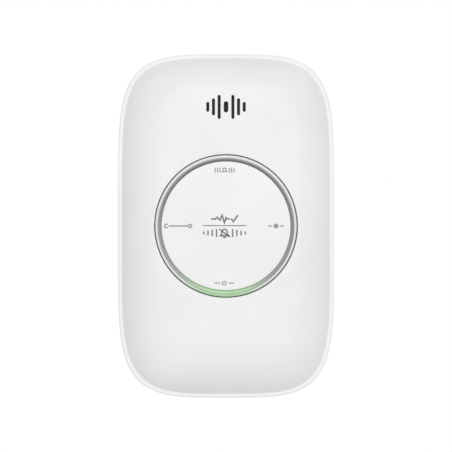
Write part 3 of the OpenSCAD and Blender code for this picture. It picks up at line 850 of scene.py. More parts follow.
def ring_material():
    """A light guide: white land, an inner roll grey with painted shade that is darker at the top, painted
    shadow in the gap at its side, lit green at the foot.
    """
    n = Nodes("light_ring").set(Roughness=0.25, Coat_Weight=0.25, Coat_Roughness=0.1)
    x, y, z = n.axes()
    in_mm = n.radius(x, z)
    across = n.math("DIVIDE", n.math("SUBTRACT", in_mm, 22.2), 2.0, clamp=True)
    # painted shade: the bead is painted grey as the groove's shade, darkest at its inner edge above the
    # button and in its middle below it, and lighter below the button than above it as light from above would
    # fall
    above = n.ramp(across, (0.1, srgb(124)), (0.3, srgb(122)), (0.46, srgb(162)), (0.6, srgb(224)),
                   (0.75, srgb(228)))
    below = n.ramp(across, (0.02, srgb(205)), (0.13, srgb(158)), (0.24, srgb(104)), (0.38, srgb(106)),
                   (0.5, srgb(142)), (0.6, srgb(198)), (0.7, srgb(222)))
    # painted shade: blends with height from the lighter tones below the button to the darker ones above it
    upward = n.math("MULTIPLY_ADD", z, 30.0, 0.35, clamp=True)
    body = n.mix(upward, below, above)
    depth = n.math("SUBTRACT", RING.z[1], n.math("MULTIPLY", y, -1000))
    # painted shadow: the ring's side deeper than 0.3 mm, and all of it deeper than 0.8 mm, is painted near
    # black for the shadow in the gap by the cover
    side = n.math("MULTIPLY", n.math("GREATER_THAN", in_mm, RING_R - 0.06),
                  n.math("GREATER_THAN", depth, 0.3))
    dark = n.math("MAXIMUM", side, n.math("GREATER_THAN", depth, 0.8))
    body = n.mix(dark, body, (0.05, 0.05, 0.05))
    turn = turn_from_foot(n, x, z)
    glow = n.ramp(turn, *GLOW)
    # painted light: a faint grey glow on the inner roll, strongest near the foot and gone towards the head,
    # lightens the lower part of the roll
    painted_spill_light = n.ramp(turn, (0.2, 0.06), (0.9, 0.0))
    lit = n.math("MULTIPLY", glow, n.math("LESS_THAN", depth, 2.6))
    grain = n.noise(0.6, detail=3)
    speckled = n.mix(grain, n.mix(0.94, (0, 0, 0), body), body)
    # painted light: where the glow falls the base colour is kept dark, so the lit part shows no shade
    n.link(n.mix(lit, speckled, (0.03, 0.07, 0.03)), "Base Color")
    inner = n.ramp(across, (0.3, 1.0), (0.5, 0.0))
    # painted light: the green glow is made stronger on the steep inner roll, where shade would fall, to even
    # out its shading
    painted_light_across_roll = n.ramp(across, (0.12, 1.0), (0.2, 0.88), (0.29, 0.72), (0.375, 0.62), (0.55, 0.67), (0.72, 0.79))
    green = n.mix(1.0, painted_light_across_roll, (0.42, 0.66, 0.37), blend="MULTIPLY")
    # emission: the green glow where lit, and the painted light on the inner roll elsewhere
    n.link(n.mix(lit, n.mix(inner, (0, 0, 0), painted_spill_light), green), "Emission Color")
    n.shader.inputs["Emission Strength"].default_value = 0.9
    n.bump(n.noise(0.3), 0.003)
    return n.material


add_piece(light_ring(), "ring_lens", "alarm", "light_pipe", ring_material(), ("light_ring",))


# ------------------------------------------------------------------ button and its marks

SPRING_ORBIT = 15
SPRING_ANGLES = (90, 210, 330)
BUTTON_UNDER = 33.3


def on_orbit(orbit, degrees):
    return orbit * math.cos(math.radians(degrees)), orbit * math.sin(math.radians(degrees))


def crown_z(x, y):
    return BUTTON.z[1] - BUTTON_CROWN * (x * x + y * y) / BUTTON_R ** 2


def button_cap():
    r = BUTTON_R
    flange = r + BUTTON_FLANGE_W
    section = [(0, BUTTON_UNDER), (r - 1.8, BUTTON_UNDER), (r - 1.8, 29.9), (r - 1.7, 29.8),
               (flange - 0.1, 29.8), (flange, 29.9), (flange, 30.7), (flange - 0.1, 30.8), (r, 30.8)]
    edge = 0.32
    top = crown_z(r - edge, 0)
    for i in range(7):
        u = math.radians(90 * i / 6)
        section.append((r - edge + edge * math.cos(u), top - edge + edge * math.sin(u)))
    section += [((r - edge) * i / 12, crown_z((r - edge) * i / 12, 0)) for i in range(11, -1, -1)]
    shape = Shape().lathe(section, steps=RING_STEPS)
    shape.lathe([(0, BUTTON.z[0]), (1.6, 30.05), (1.8, 30.25), (1.8, 33.4), (0, 33.4)], steps=40)
    for degrees in SPRING_ANGLES:
        shape.lathe([(0, 30.5), (1.2, 30.5), (1.4, 30.7), (1.4, 33.4), (0, 33.4)],
                    on_orbit(SPRING_ORBIT, degrees), 32)
    for w, h in ((12, 1), (1, 12)):
        shape.prism(rounded_rect(w, h, 0.3), 31.6, 33.4, 0.1)
    return shape


def button_skin():
    """The shell's plastic, with the ring's green light painted onto the edge at the foot."""
    n = Nodes("button_plastic").set(Roughness=0.38, Specular_IOR_Level=0.35)
    x, _, z = n.axes()
    edge = n.math("DIVIDE", n.math("SUBTRACT", n.radius(x, z), BUTTON_R - 0.5), 0.5, clamp=True)
    # painted light: the ring's green glow painted into the base colour of the button's edge near the foot
    painted_green_light = n.math("MULTIPLY", n.math("MULTIPLY", edge, n.ramp(turn_from_foot(n, x, z), *GLOW)), 0.9)
    skin = n.ramp(n.noise(24, detail=3), (0.3, 0.848), (0.7, 0.882))
    n.link(n.mix(painted_green_light, skin, (0.45, 0.72, 0.4)), "Base Color")
    fine = n.noise(0.35, detail=3, roughness=0.6)
    n.link(n.ramp(fine, (0.0, 0.31), (1.0, 0.45)), "Roughness")
    n.bump(fine, 0.012)
    return n.material


add_piece(button_cap(), "button_disc", "button", "button_plastic", button_skin(), ("button_cap",))


def printed(name, tone):
    """Pad-printed ink: thin, matt, with a slightly uneven cover."""
    n = Nodes(name).set(Roughness=0.6)
    n.link(n.ramp(n.noise(0.5, detail=3), (0.3, srgb(tone - 6)), (0.7, srgb(tone + 6))), "Base Color")
    n.bump(n.noise(0.15), 0.004)
    return n.material


BELL = [(-1, -0.62), (-0.62, -0.3), (-0.6, 0.2), *arc(0.6, 180, 0, (0, 0.25), 10), (0.62, -0.3), (1, -0.62)]
BARS = [(2.75, 1.35), (4.2, 1.1), (5.65, 0.8), (7.1, 0.5)]


def mark(lines, name, tone, at, width):
    """One printed mark: (path, closed) lines at a place on the button's crown."""
    shape = Shape()
    for path, closed in lines:
        shape.stroke([(at[0] + x, at[1] + y) for x, y in path], width, crown_z, -0.05, 0.02, closed)
    add_piece(shape, name, "button", "button_plastic", printed(name + "_ink", tone), degrees=60)


def scaled(path, k):
    return [(x * k, y * k) for x, y in path]


def both_sides(path):
    return [path, [(-x, y) for x, y in path]]


waves = [arc(r, -span, span) for r, span in ((1.65, 30), (2.45, 20), (3.25, 15))]
mark([(scaled(BELL, 0.85), True)] + [(p, False) for w in waves for p in both_sides(w)],
     "mark_alarm", 146, (-0.5, 19.1), 0.36)
mark([([(-3.3, 0), (3.4, 0)], False), (arc(0.62, 45, 315, (-4.0, 0)), False),
      (circle(0.55, 20, (4.05, 0)), True)],
     "mark_malfunction", 150, (-16.35, 0), 0.46)
mark([(circle(0.65, 24), True), ([(-0.4, -0.4), (0.4, 0.4)], False), ([(-0.4, 0.4), (0.4, -0.4)], False)]
     + [(p, False) for p in both_sides([(1.2, 0), (2.8, 0)])], "mark_fault", 146, (17.1, 0), 0.36)
mark([(arc(0.68, 125, 415), False), ([(0, 0.1), (0, 0.85)], False)]
     + [(p, False) for p in both_sides([(1.45, 0), (3.4, 0)])], "mark_power", 146, (-0.6, -19.5), 0.36)
PULSE = [(-4.6, 0), (-3.1, 0), (-2.55, 0.6), (-1.95, 0), (-1.55, -0.4), (-0.85, 1.4), (-0.05, -1.4),
         (0.5, 0.45), (0.9, 0), (1.8, 0)]
TICK = [(2.2, 0.15), (3.0, -0.9), (4.6, 1.35)]
mark([(PULSE, False), (TICK, False)],
     "mark_test", 124, (-0.5, 2.4), 0.55)
mark([([(-7.4, 0), (7.4, 0)], False)], "mark_divider", 122, (-0.5, 0.12), 0.32)
mark([(scaled(BELL, 1.5), True), (arc(0.42, 200, 340, (0, -1.1)), False),
      ([(-1.8, 1.35), (1.8, -1.35)], False)]
     + [(p, False) for x, y in BARS for p in both_sides([(x, -y), (x, y)])],
     "mark_silence", 124, (-0.5, -2.4), 0.52)


# ------------------------------------------------------------------ more materials

def two_tone(name, split, low, high, axis=2, roughness=0.4, metallic=(0, 0), grain=0.4):
    """A material that changes from low to high where the place along an axis passes split millimetres."""
    n = Nodes(name).set(Roughness=roughness)
    side = n.math("GREATER_THAN", n.math("MULTIPLY", n.axes()[axis], 1000), split)
    fine = n.noise(grain, detail=3)
    dim = n.mix(side, shaded(low, 0.9), shaded(high, 0.9))
    n.link(n.mix(fine, dim, n.mix(side, low, high)), "Base Color")
    if any(metallic):
        n.link(n.mix(side, (metallic[0],) * 3, (metallic[1],) * 3), "Metallic")
    n.bump(fine, 0.004)
    return n.material


def woven(name, pitch, dark, light):
    """Fine square weave of pitch millimetres."""
    n = Nodes(name).set(Roughness=0.85)
    x, _, z = n.axes()
    waves = [n.math("SINE", n.math("MULTIPLY", v, TAU / (pitch * MM))) for v in (x, z)]
    weave = n.math("MULTIPLY_ADD", n.math("MULTIPLY", *waves), 0.5, 0.5)
    n.link(n.ramp(weave, (0.3, dark), (0.8, light)), "Base Color")
    n.bump(weave, 0.06)
    return n.material


NICKEL = metal("nickel_plate", (0.72, 0.70, 0.66), 0.28)
ZINC = metal("zinc_plate", (0.62, 0.62, 0.64), 0.34)
TIN = metal("tinned_lead", (0.74, 0.74, 0.76), 0.36, grain=0.3)
WIRE = metal("spring_wire", (0.66, 0.66, 0.68), 0.26, grain=0.3, relief=0.002)
CAN = metal("drawn_can", (0.72, 0.71, 0.69), 0.3, streak=(1, 1, 8))
ALUMINIUM = metal("can_top", (0.78, 0.78, 0.79), 0.33)
BRASS = metal("brass", (0.78, 0.57, 0.24), 0.3, grain=0.4)
COPPER = metal("copper_wire", (0.80, 0.38, 0.20), 0.3, grain=0.2)
BLACK = plastic("black_plastic", (0.028, 0.028, 0.031), 0.5, grain=0.25, relief=0.01, drift=0.15)
EPOXY = plastic("chip_epoxy", (0.03, 0.03, 0.033), 0.62, grain=0.12, relief=0.01, drift=0.1)
PALE = plastic("carrier_plastic", (0.66, 0.66, 0.64), 0.5)
WALL_PLATE = plastic("bracket_plastic", (0.78, 0.78, 0.76), 0.5, grain=0.5, relief=0.02)
FERRITE = plastic("ferrite", (0.055, 0.05, 0.05), 0.7, grain=0.2, relief=0.03, drift=0.2)
FOAM = plastic("foam", (0.05, 0.05, 0.055), 0.95, grain=0.35, relief=0.08, drift=0.3)
FELT = plastic("felt", (0.82, 0.82, 0.79), 0.95, grain=0.2, relief=0.05, drift=0.06)
FIRED = plastic("ceramic", (0.74, 0.72, 0.66), 0.45, grain=0.3, relief=0.006, drift=0.06)
WHITE_CASE = plastic("led_case", (0.8, 0.8, 0.78), 0.4)


# the CAD nodes that are shown as they are, each with its material
for name, material in (("grille_mesh", woven("acoustic_mesh", 0.3, 0.02, 0.1)), ("sounder_gasket", FOAM),
                       ("sounder_plate", BRASS), ("sounder_ceramic", FIRED), ("sensor_filter", FELT)):
    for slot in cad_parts[name].material_slots:
        slot.material = material


# ------------------------------------------------------------------ screws

def screw_mesh(head_r, head_h, shank_r, length, pitch=0.8):
    """A cross-head screw with its head below z = 0 and its threaded shank above."""
    steps = 32
    shape = Shape()
    rows = []
    head = [(head_r * 0.55, -head_h * 0.97), (head_r * 0.86, -head_h * 0.75), (head_r * 0.98, -head_h * 0.4),
            (head_r, -0.1), (head_r - 0.1, 0), (shank_r * 0.8, 0)]
    for r, z in head:
        rows.append([(r, z)] * steps)
    levels = int(length / pitch * 8)
    for i in range(1, levels + 1):
        z = length * i / levels
        taper = min(1, max(0.15, (length - z) / (2.2 * shank_r)))
        row = []
        for k in range(steps):
            turn = (z / pitch - k / steps) % 1
            row.append((shank_r * taper * (0.78 + 0.22 * max(0, 1 - abs(turn - 0.5) / 0.3)), z))
        rows.append(row)
    tip = shape.bm.verts.new((0, 0, length))
    crown = shape.bm.verts.new((0, 0, -head_h))
    rings = [shape.ring([(r * math.cos(TAU * k / steps), r * math.sin(TAU * k / steps), z)
                         for k, (r, z) in enumerate(row)]) for row in rows]
    shape.stack(rings)
    for k in range(steps):
        shape.bm.faces.new((crown, rings[0][k], rings[0][(k + 1) % steps]))
        shape.bm.faces.new((tip, rings[-1][k], rings[-1][(k + 1) % steps]))
    cross = Shape()
    for w, h in ((1.25, 0.26), (0.26, 1.25)):
        rings = [cross.ring([(x * k, y * k, z) for x, y in rounded_rect(w * head_r, h * head_r, 0.1, arc=3)])
                 for k, z in ((1.12, -head_h - 0.1), (0.55, -head_h * 0.25))]
        cross.closed_stack(rings)
    return combine(shape, ("DIFFERENCE", cross))


def screws(name, node, places, z, outward, *sizes):
    """One screw at each place, its head towards the wall, or away from it where outward."""
    flip = Matrix.Rotation(math.pi if outward else 0, 4, "X")
    shape = Shape().add(screw_mesh(*sizes), [Matrix.Translation((x, y, z)) @ flip for x, y in places])
    add_piece(shape, name, "alarm", "screw_steel", ZINC, (node,), degrees=30)


screws("cover_screws", "housing_screws", COVER_SCREWS, 12, False, 2.3, 1.8, 1.25, 12)
screws("board_fixings", "board_screws", BOARD_POSTS, BOARD.z[1], True, 2, 1.3, 1, 7.5)


# ------------------------------------------------------------------ springs

def coil_path(r_0, r_1, wire, h, turns, steps=28):
    """A helix whose first and last turns lie almost flat."""
    n = int(turns * steps)
    points = []
    for k in range(n + 1):
        f = k / n
        rise = f - 0.75 * math.sin(TAU * f) / TAU
        r = r_0 + (r_1 - r_0) * f
        u = TAU * turns * f
        points.append(Vector((r * math.cos(u), r * math.sin(u), wire + (h - 2 * wire) * rise)))
    return points


SPRING_SEAT = 26.2
spring = Shape().sweep(coil_path(1.9, 1.9, 0.25, BUTTON_UNDER - SPRING_SEAT, 6.5), 0.25).mesh("spring")
seats = [Vector((*on_orbit(SPRING_ORBIT, a), SPRING_SEAT)) for a in SPRING_ANGLES]
coils = add_piece(Shape().add(spring, seats),
                  "return_springs", "alarm", "spring_steel", WIRE, ("button_springs",), degrees=60)
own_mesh(coils)


# ------------------------------------------------------------------ wall bracket and battery door

def wall_bracket():
    plate = slab(BRACKET_W, BRACKET_H, 4.5, 0, 2.4, (0, BRACKET_Y))
    steps = []
    for sx in (-1, 1):
        for y in HOOK_YS:
            steps.append(("UNION", block(HOOK_W, HOOK_T, 2.0, 6.7, (sx * HOOK_X, y + HOOK_T / 2))))
            steps.append(("UNION", block(HOOK_W, HOOK_T + 3.2, 5.1, 6.7,
                                         (sx * HOOK_X, y + (HOOK_T + 3.2) / 2))))
        at = (sx * 15, BRACKET_Y)
        steps.append(("DIFFERENCE", rod(2.2, -1, 4, at)))
        countersink = [(0, 0.9), (2.2, 0.9), (4.0, 2.41), (4.0, 3.5), (0, 3.5)]
        steps.append(("DIFFERENCE", turned(countersink, at, 48)))
    for y in (5, 37):
        steps.append(("DIFFERENCE", slab(BRACKET_W - 14, 1.6, 0.75, 1.8, 3.5, (0, y))))
    # shallow pockets in front, and in the face that lies on the wall
    steps.append(("DIFFERENCE", slab(18, 22, 2, 1.8, 3.5, (0, BRACKET_Y))))
    for dy, w, h in ((-16, BRACKET_W - 8, 10), (0, 18, 16), (16, BRACKET_W - 8, 10)):
        steps.append(("DIFFERENCE", slab(w, h, 2, -1, 0.5, (0, BRACKET_Y + dy))))
    return combine(plate, *steps)


add_piece(wall_bracket(), "wall_plate", "bracket", "bracket_plastic", WALL_PLATE, ("wall_bracket",),
          bevel=0.22)


def battery_door():
    top, low = DOOR_TOP, HINGE_Y
    leaf = slab(2 * DOOR_HALF, top - low, 0.8, BACK_Z, BACK_Z + DOOR_T, (0, (top + low) / 2))
    steps = [("UNION", lying_rod(HINGE_R, DOOR_HALF - 0.02, HINGE_Y, HINGE_Z)),
             ("UNION", lying_rod(PIN_R, DOOR_HALF + 1.2, HINGE_Y, HINGE_Z))]
    for sx in (-1, 1):
        steps.append(("UNION", slab(1.2, BAY_H - 8, 0.55, BACK_Z + DOOR_T - 0.2, BACK_Z + DOOR_T + 1.6,
                                    (sx * 14, BAY_Y + 1))))
        steps.append(("DIFFERENCE", slab(0.8, 9, 0.39, BACK_Z - 1, BACK_Z + 4, (sx * 6.4, top - 3.5))))
    for i in range(5):
        steps.append(("DIFFERENCE", slab(9, 0.7, 0.34, BACK_Z - 1, BACK_Z + 0.4, (0, top - 2.2 - i * 1.5))))
    return combine(leaf, *steps)


add_piece(battery_door(), "door_leaf", "door", "shell_plastic", REAR_SHELL_PAINTED_LIGHTER, ("battery_door",), bevel=0.14)


LABEL_FILM = plastic("label_film", (0.66, 0.67, 0.68), 0.34, grain=0.12, relief=0.003)
LABEL_Y, LABEL_Z = -35.5, BACK_Z - 0.08
add_piece(slab(44, 15, 1.2, LABEL_Z, BACK_Z + 0.1, (0, LABEL_Y)), "door_label", "door", "shell_plastic",
          LABEL_FILM, bevel=0.02)


def label_print():
    """A border and plain rules where a rating label has its lettering."""
    shape = Shape()
    shape.stroke(rounded_rect(42, 13, 0.8, (0, LABEL_Y), arc=4), 0.25, level(LABEL_Z), -0.015, 0.04, True)
    for row, end in enumerate((-2, 4, 0, 7, 1)):
        y = LABEL_Y + 4.4 - 2.2 * row
        shape.stroke([(end, y), (19, y)], 0.5, level(LABEL_Z), -0.015, 0.04)
    shape.stroke(rounded_rect(15, 8.8, 0.5, (-11.6, LABEL_Y), arc=4), 0.3, level(LABEL_Z), -0.015, 0.04, True)
    for y in (LABEL_Y - 1.9, LABEL_Y + 1.9):
        shape.stroke([(-17.2, y), (-6, y)], 0.5, level(LABEL_Z), -0.015, 0.04)
    return shape


add_piece(label_print(), "door_label_print", "door", "shell_plastic", printed("label_ink", 96), degrees=60)
pointer = Shape().stroke([(-1.6, DOOR_TOP - 11.2), (0, DOOR_TOP - 12.8), (1.6, DOOR_TOP - 11.2)], 0.6,
                         level(BACK_Z), -0.12, 0.2)
add_piece(pointer, "door_pointer", "door", "shell_plastic", REAR_SHELL_PAINTED_LIGHTER, degrees=60)


def bay_marks():
    """Raised polarity signs on the floor of the battery bay."""
    shape = Shape()
    for y, way in zip((BAY_Y + CELL_OFF, BAY_Y - CELL_OFF), (1, -1)):
        for x in (-17, 17):
            shape.stroke([(x - 2, y), (x + 2, y)], 0.9, level(BAY_FLOOR), -0.4, 0.1)
        shape.stroke([(way * 17, y - 2), (way * 17, y + 2)], 0.9, level(BAY_FLOOR), -0.37, 0.1)
    return shape


add_piece(bay_marks(), "bay_marks", "alarm", "shell_plastic", REAR_SHELL_PAINTED_LIGHTER, degrees=60)


# ------------------------------------------------------------------ button carrier

def carrier():
    disc = rod(26.8, 25.4, 26.6, steps=160)
    steps = [("UNION", Shape().lathe([(25.1, 25.6), (26.1, 25.6), (26.1, 30.35), (25.1, 30.35)], steps=160,
                                     closed=True))]
    for a in SPRING_ANGLES:
        steps.append(("UNION", rod(2.9, 25.4, 28.6, on_orbit(SPRING_ORBIT, a))))
    for a in (45, 135, 225, 315):
        steps.append(("UNION", rod(1.6, BOARD.z[1], 26, on_orbit(20.5, a))))
    steps.append(("DIFFERENCE", rod(6, 24, 29)))
    holes = Shape()
    round_legs(holes, 2.4, 4.4, 24.5, 27.4, LED_R + 0.1, (0, 90, 180, 270), 0)
    steps.append(("DIFFERENCE", holes))
    for a in SPRING_ANGLES:
        steps.append(("DIFFERENCE", rod(2.45, SPRING_SEAT, 30, on_orbit(SPRING_ORBIT, a))))
    spokes = Shape()
    round_legs(spokes, 17, 1.1, 26.4, 27.2, 15.6, (30, 60, 120, 150, 240, 300), 0)
    steps.append(("UNION", spokes))
    return combine(disc, *steps)


add_piece(carrier(), "carrier_plate", "alarm", "carrier_plastic", PALE, ("button_carrier",), bevel=0.1)


# ------------------------------------------------------------------ cells, contacts and their springs

CELL_Z, CELL_R, CELL_L = 11.4, 7.1, 50.3
CELL_START = -23.7
CELL_YS = (BAY_Y + CELL_OFF, BAY_Y - CELL_OFF)


def along_x(x, y, z, way):
    """A matrix that lays a shape's +Z along the lying +X or -X at a place."""
    return Matrix.Translation((x, y, z)) @ Matrix.Rotation(math.radians(90 * way), 4, "Y")


def cell(label, y, way):
    end = CELL_L - 1.2
    jacket = turned([(5.7, 0.25), (5.7, 0.04), (6.5, 0), (6.9, 0.12), (CELL_R - 0.02, 0.45), (CELL_R, 0.8),
                     (CELL_R, 13.4), (CELL_R - 0.03, 13.5), (CELL_R - 0.03, 13.7), (CELL_R, 13.8),
                     (CELL_R, end - 0.7), (CELL_R - 0.05, end - 0.35), (6.85, end - 0.08), (6.4, end),
                     (5.4, end - 0.02), (5.4, end - 0.3)], closed=True)
    ends = turned([(0, 0.1), (3.6, 0.1), (3.75, 0.16), (4.4, 0.16), (4.6, 0.1), (5.8, 0.1), (5.8, 0.9),
                   (0, 0.9)], steps=80)
    ends.lathe([(0, CELL_L), (2.2, CELL_L), (2.5, CELL_L - 0.07), (2.66, CELL_L - 0.25), (2.7, CELL_L - 0.5),
                (2.72, end + 0.12), (2.9, end - 0.06), (3.2, end - 0.1), (5.5, end - 0.1), (5.5, end - 0.8),
                (0, end - 0.8)], steps=80)
    place = along_x(way * CELL_START, y, CELL_Z, way)
    split = way * (CELL_START + 36)
    low, high = (0.02, 0.19, 0.10), (0.62, 0.36, 0.13)
    if way < 0:
        low, high = high, low
    skin = two_tone("cell_" + label + "_jacket", split, low, high, axis=0, roughness=0.3,
                    metallic=(0.55, 0.55))
    for part, shape, slot, material in (("jacket", jacket, "cell_jacket", skin),
                                        ("ends", ends, "contact_metal", NICKEL)):
        data = shape.mesh("part")
        data.transform(place)
        add_piece(data, f"cell_{label}_{part}", "alarm", slot, material, ("cell_" + label,))


cell("upper", CELL_YS[0], 1)
cell("lower", CELL_YS[1], -1)

PLATE_T = 0.4


def contact(name, y, way, width, tabbed, nub_y=None):
    x = way * (BAY_HALF - PLATE_T / 2)
    half = width / 2
    loop = [(y + a, 11.5 + b) for a, b in rounded_rect(width, 12, 1, arc=4)]
    shape = Shape()
    shape.extrude(loop, lambda a, across, up: (x + across, a, up), PLATE_T)
    if tabbed:
        shape.extrude([(y - 1.2, 16), (y + 1.2, 16), (y + 1.2, 22.9), (y + 0.8, 23.4), (y - 0.8, 23.4),
                       (y - 1.2, 22.9)],
                      lambda a, across, up: (x + across * 0.98, a, up), PLATE_T)
    # pressed stiffening beads
    for side in ([-1, 1] if half > 6 else []):
        bead = turned([(0, -0.1), (1.6, -0.1), (1.5, 0.12), (1.1, 0.2), (0, 0.22)], steps=32).mesh("bead")
        shape.add(bead, [along_x(way * (BAY_HALF - PLATE_T), y + side * 1.2, CELL_Z + 4, -way)])
    if nub_y is not None:
        nub = turned([(0, -0.1), (2.6, -0.1), (2.55, 0.08), (2.3, 0.3), (1.9, 0.46), (1.6, 0.5), (0, 0.5)],
                     steps=48).mesh("nub")
        shape.add(nub, [along_x(way * (BAY_HALF - PLATE_T), nub_y, CELL_Z, -way)])
    add_piece(shape, name + "_plate", "alarm", "contact_metal", NICKEL, (name,), degrees=40)


contact("contact_negative", CELL_YS[0], -1, 10, True)
contact("contact_positive", CELL_YS[1], -1, 10, True, CELL_YS[1])
contact("contact_bridge", BAY_Y, 1, 25.1, False, CELL_YS[0])

cone = Shape().sweep(coil_path(4.2, 2.8, 0.4, 3.4, 3, steps=36), 0.4, sides=12).mesh("cone")
places = [along_x(way * (PLATE_T - BAY_HALF), y, CELL_Z, way) for y, way in zip(CELL_YS, (1, -1))]
add_piece(Shape().add(cone, places),
          "cell_springs", "alarm", "spring_steel", WIRE, ("battery_springs",), degrees=60)


# ------------------------------------------------------------------ circuit board

TOP, UNDER = BOARD.z[1], BOARD.z[0]
PINS = ([(x * 2.5, y * 2.25) for x in (-1, 1) for y in (-1, 1)] + [(-9.2, 38.3), (9.2, 38.3)]
        + [(on_orbit(4.2, a)[0], -40.5 + on_orbit(4.2, a)[1]) for a in (90, 210, 330)]
        + [(16, 33), (18, 33), (21.6, 28.4), (23.6, 28.4)])


def board_material():
    """Green solder mask over a pale glass core that shows at the edges."""
    n = Nodes("solder_mask").set(Roughness=0.35, Coat_Weight=0.2)
    height = n.math("MULTIPLY", n.axes()[1], -1000)
    core = n.math("MULTIPLY", n.math("GREATER_THAN", height, UNDER + 0.06),
                  n.math("LESS_THAN", height, TOP - 0.06))
    mask = n.ramp(n.noise(3, detail=4), (0.3, (0.012, 0.105, 0.038)), (0.7, (0.018, 0.14, 0.05)))
    glass = n.ramp(n.noise(0.4), (0.3, (0.42, 0.40, 0.22)), (0.7, (0.52, 0.5, 0.3)))
    n.link(n.mix(core, mask, glass), "Base Color")
    n.bump(n.noise(0.35, detail=3), 0.012)
    return n.material


def main_board():
    """The board; the cover's bosses pass it through notches in its edge."""
    sheet = Shape()
    sheet.closed_stack([sheet.ring([(x, y, z) for x, y in outline(4.4)]) for z in (UNDER, TOP)])
    holes = [rod(3.5, UNDER - 1, TOP + 1, p) for p in COVER_SCREWS]
    holes += [rod(1.15, UNDER - 1, TOP + 1, p, 28) for p in BOARD_POSTS]
    holes += [rod(0.5, UNDER - 1, TOP + 1, p, 16) for p in PINS]
    holes += [slab(0.8, 2.8, 0.3, UNDER - 1, TOP + 1, (PLATE_T / 2 - BAY_HALF, y)) for y in CELL_YS]
    return combine(sheet, *(("DIFFERENCE", hole) for hole in holes))


add_piece(main_board(), "board_sheet", "alarm", "circuit_board", board_material(), ("main_board",),
          bevel=0.04)

TRACKS = [
    [(-26.8, -21.6), (-26.4, -20), (-26.4, 17), (-19, 26), (-18, 28.6)],
    [(-27.3, -40.2), (-29.6, -38), (-29.6, -13), (-27.3, -10.6), (-27.3, 17.4), (-20, 26.2), (-20, 29)],
    [(14.2, -32.4), (14.2, -29), (9.2, -24), (1.8, -24)],
    [(19.8, -32.4), (19.8, -29), (24.2, -24.6), (24.2, -2)],
    [(15.8, -32.4), (15.8, -27), (2.5, -13.7), (2.5, -2.3)],
    [(17.4, -32.4), (17.4, -25.8), (9, -17.4), (9, 14), (1.2, 21.8)],
    [(12.4, -35), (8, -30.6), (-8, -30.6), (-21, -17.6), (-23.9, -14.7), (-23.9, -2)],
    [(-3.6, -42.6), (-7.4, -42.6), (-10, -39.9), (-11.9, -39.9)],
    [(-11.9, -36.1), (-9.4, -33.6), (-9.4, -32), (10, -32), (12.4, -34.2)],
    [(9.2, 38.3), (11.4, 38.3), (16, 33.6)],
    [(-9.2, 38.3), (-12, 38.3), (-15.6, 34.7)],
    [(18, 33), (19, 33), (21.6, 30.4), (21.6, 28.4)],
    [(0, 25.4), (0, 12), (-2.5, 9.5), (-2.5, 2.3)],
    [(5, 25.4), (5, 21), (12, 14), (12, -12), (18.2, -18.2), (18.2, -32.4)],
    [(-16.6, -36), (-18, -34.8), (-19, -34.8)],
    [(3.6, -42.6), (7, -42.6), (10.6, -39), (12.4, -39)],
    [(21.6, -39), (23.4, -39), (24.5, -38.4)],
    [(-15, -28.6), (-15, -30), (-17.4, -32.4), (-19.2, -32.4)],
    [(23.6, 28.4), (27, 25), (27, 3), (26, 2)],
]
VIAS = [(-13, -20), (13, -21), (20.4, 8), (-20.6, 10), (6, 31), (-10.6, 22.4), (22, -14), (-24.4, 22),
        (27, 12), (5.4, -26.4), (-7, -26.8), (11, 24.6), (-22, 40), (22, 40), (-8.6, -46.4),
        (9.4, -46.2), (26, -30)]


def board_print(name, slot, material, lines, width, height):
    shape = Shape()
    for path, closed in lines:
        shape.stroke(path, width, level(TOP), -0.03, height, closed)
    add_piece(shape, name, "alarm", slot, material, degrees=60)


TRACK_SKIN = plastic("covered_track", (0.03, 0.20, 0.075), 0.32, grain=0.4, relief=0.006, drift=0.06)
INK = plastic("board_ink", (0.78, 0.78, 0.74), 0.6, grain=0.2, relief=0.004)
board_print("board_tracks", "circuit_board", TRACK_SKIN, [(t, False) for t in TRACKS], 0.45, 0.03)
# radius, steps and place
ROUND_OUTLINES = [(7.9, 64, (0, -40.5)), (10.5, 72, (0, 38.3)), (3.6, 40, (-18, 32)), (3.05, 36, (17, 33)),
                  (3.05, 36, (22.6, 28.4))]
# width, height, corner and place
BOX_OUTLINES = [(9.8, 9.8, 0.5, (17, -37)), (6.6, 6, 0.4, (-15, -38)), (8, 8, 0.5, (0, 0)),
                (4, 3.6, 0.3, (0, 23.9)), (4, 3.6, 0.3, (0, -23.9)), (3.6, 4, 0.3, (23.9, 0)),
                (3.6, 4, 0.3, (-23.9, 0)), (5.6, 8.4, 0.4, (-21.7, -33)), (13, 3.6, 0.4, (0, 26.95)),
                (7.2, 2.6, 0.4, (-17.6, -27.5)), (2.2, 7.8, 0.4, (24.5, -37.6))]
# a slanted stroke beside one capacitor, and a plus sign beside the other
SIGNS = [[(24.6, 30.9), (25.3, 31.6)], [(13.2, 33), (13.9, 33)], [(13.55, 32.65), (13.55, 33.35)]]
board_print("board_outlines", "circuit_board", INK, [(circle(*c), True) for c in ROUND_OUTLINES]
            + [(rounded_rect(*b, arc=3), True) for b in BOX_OUTLINES] + [(sign, False) for sign in SIGNS],
            0.16, 0.02)


def pads():
    """Tinned rings round the pins and vias on both faces, and round the screw holes on the upper one."""
    shape = Shape()
    both = (TOP - 0.02, UNDER - 0.03)
    for places, hole, r, steps, faces in ((PINS, 0.49, 0.95, 28, both), (VIAS, 0.18, 0.45, 20, both),
                                          (BOARD_POSTS, 1.16, 2.6, 40, both[:1])):
        for x, y in places:
            for z in faces:
                shape.lathe([(hole, z), (r, z), (r, z + 0.05), (hole, z + 0.05)], (x, y), steps, closed=True)
    return shape


add_piece(pads(), "board_pads", "alarm", "solder", TIN, degrees=40)


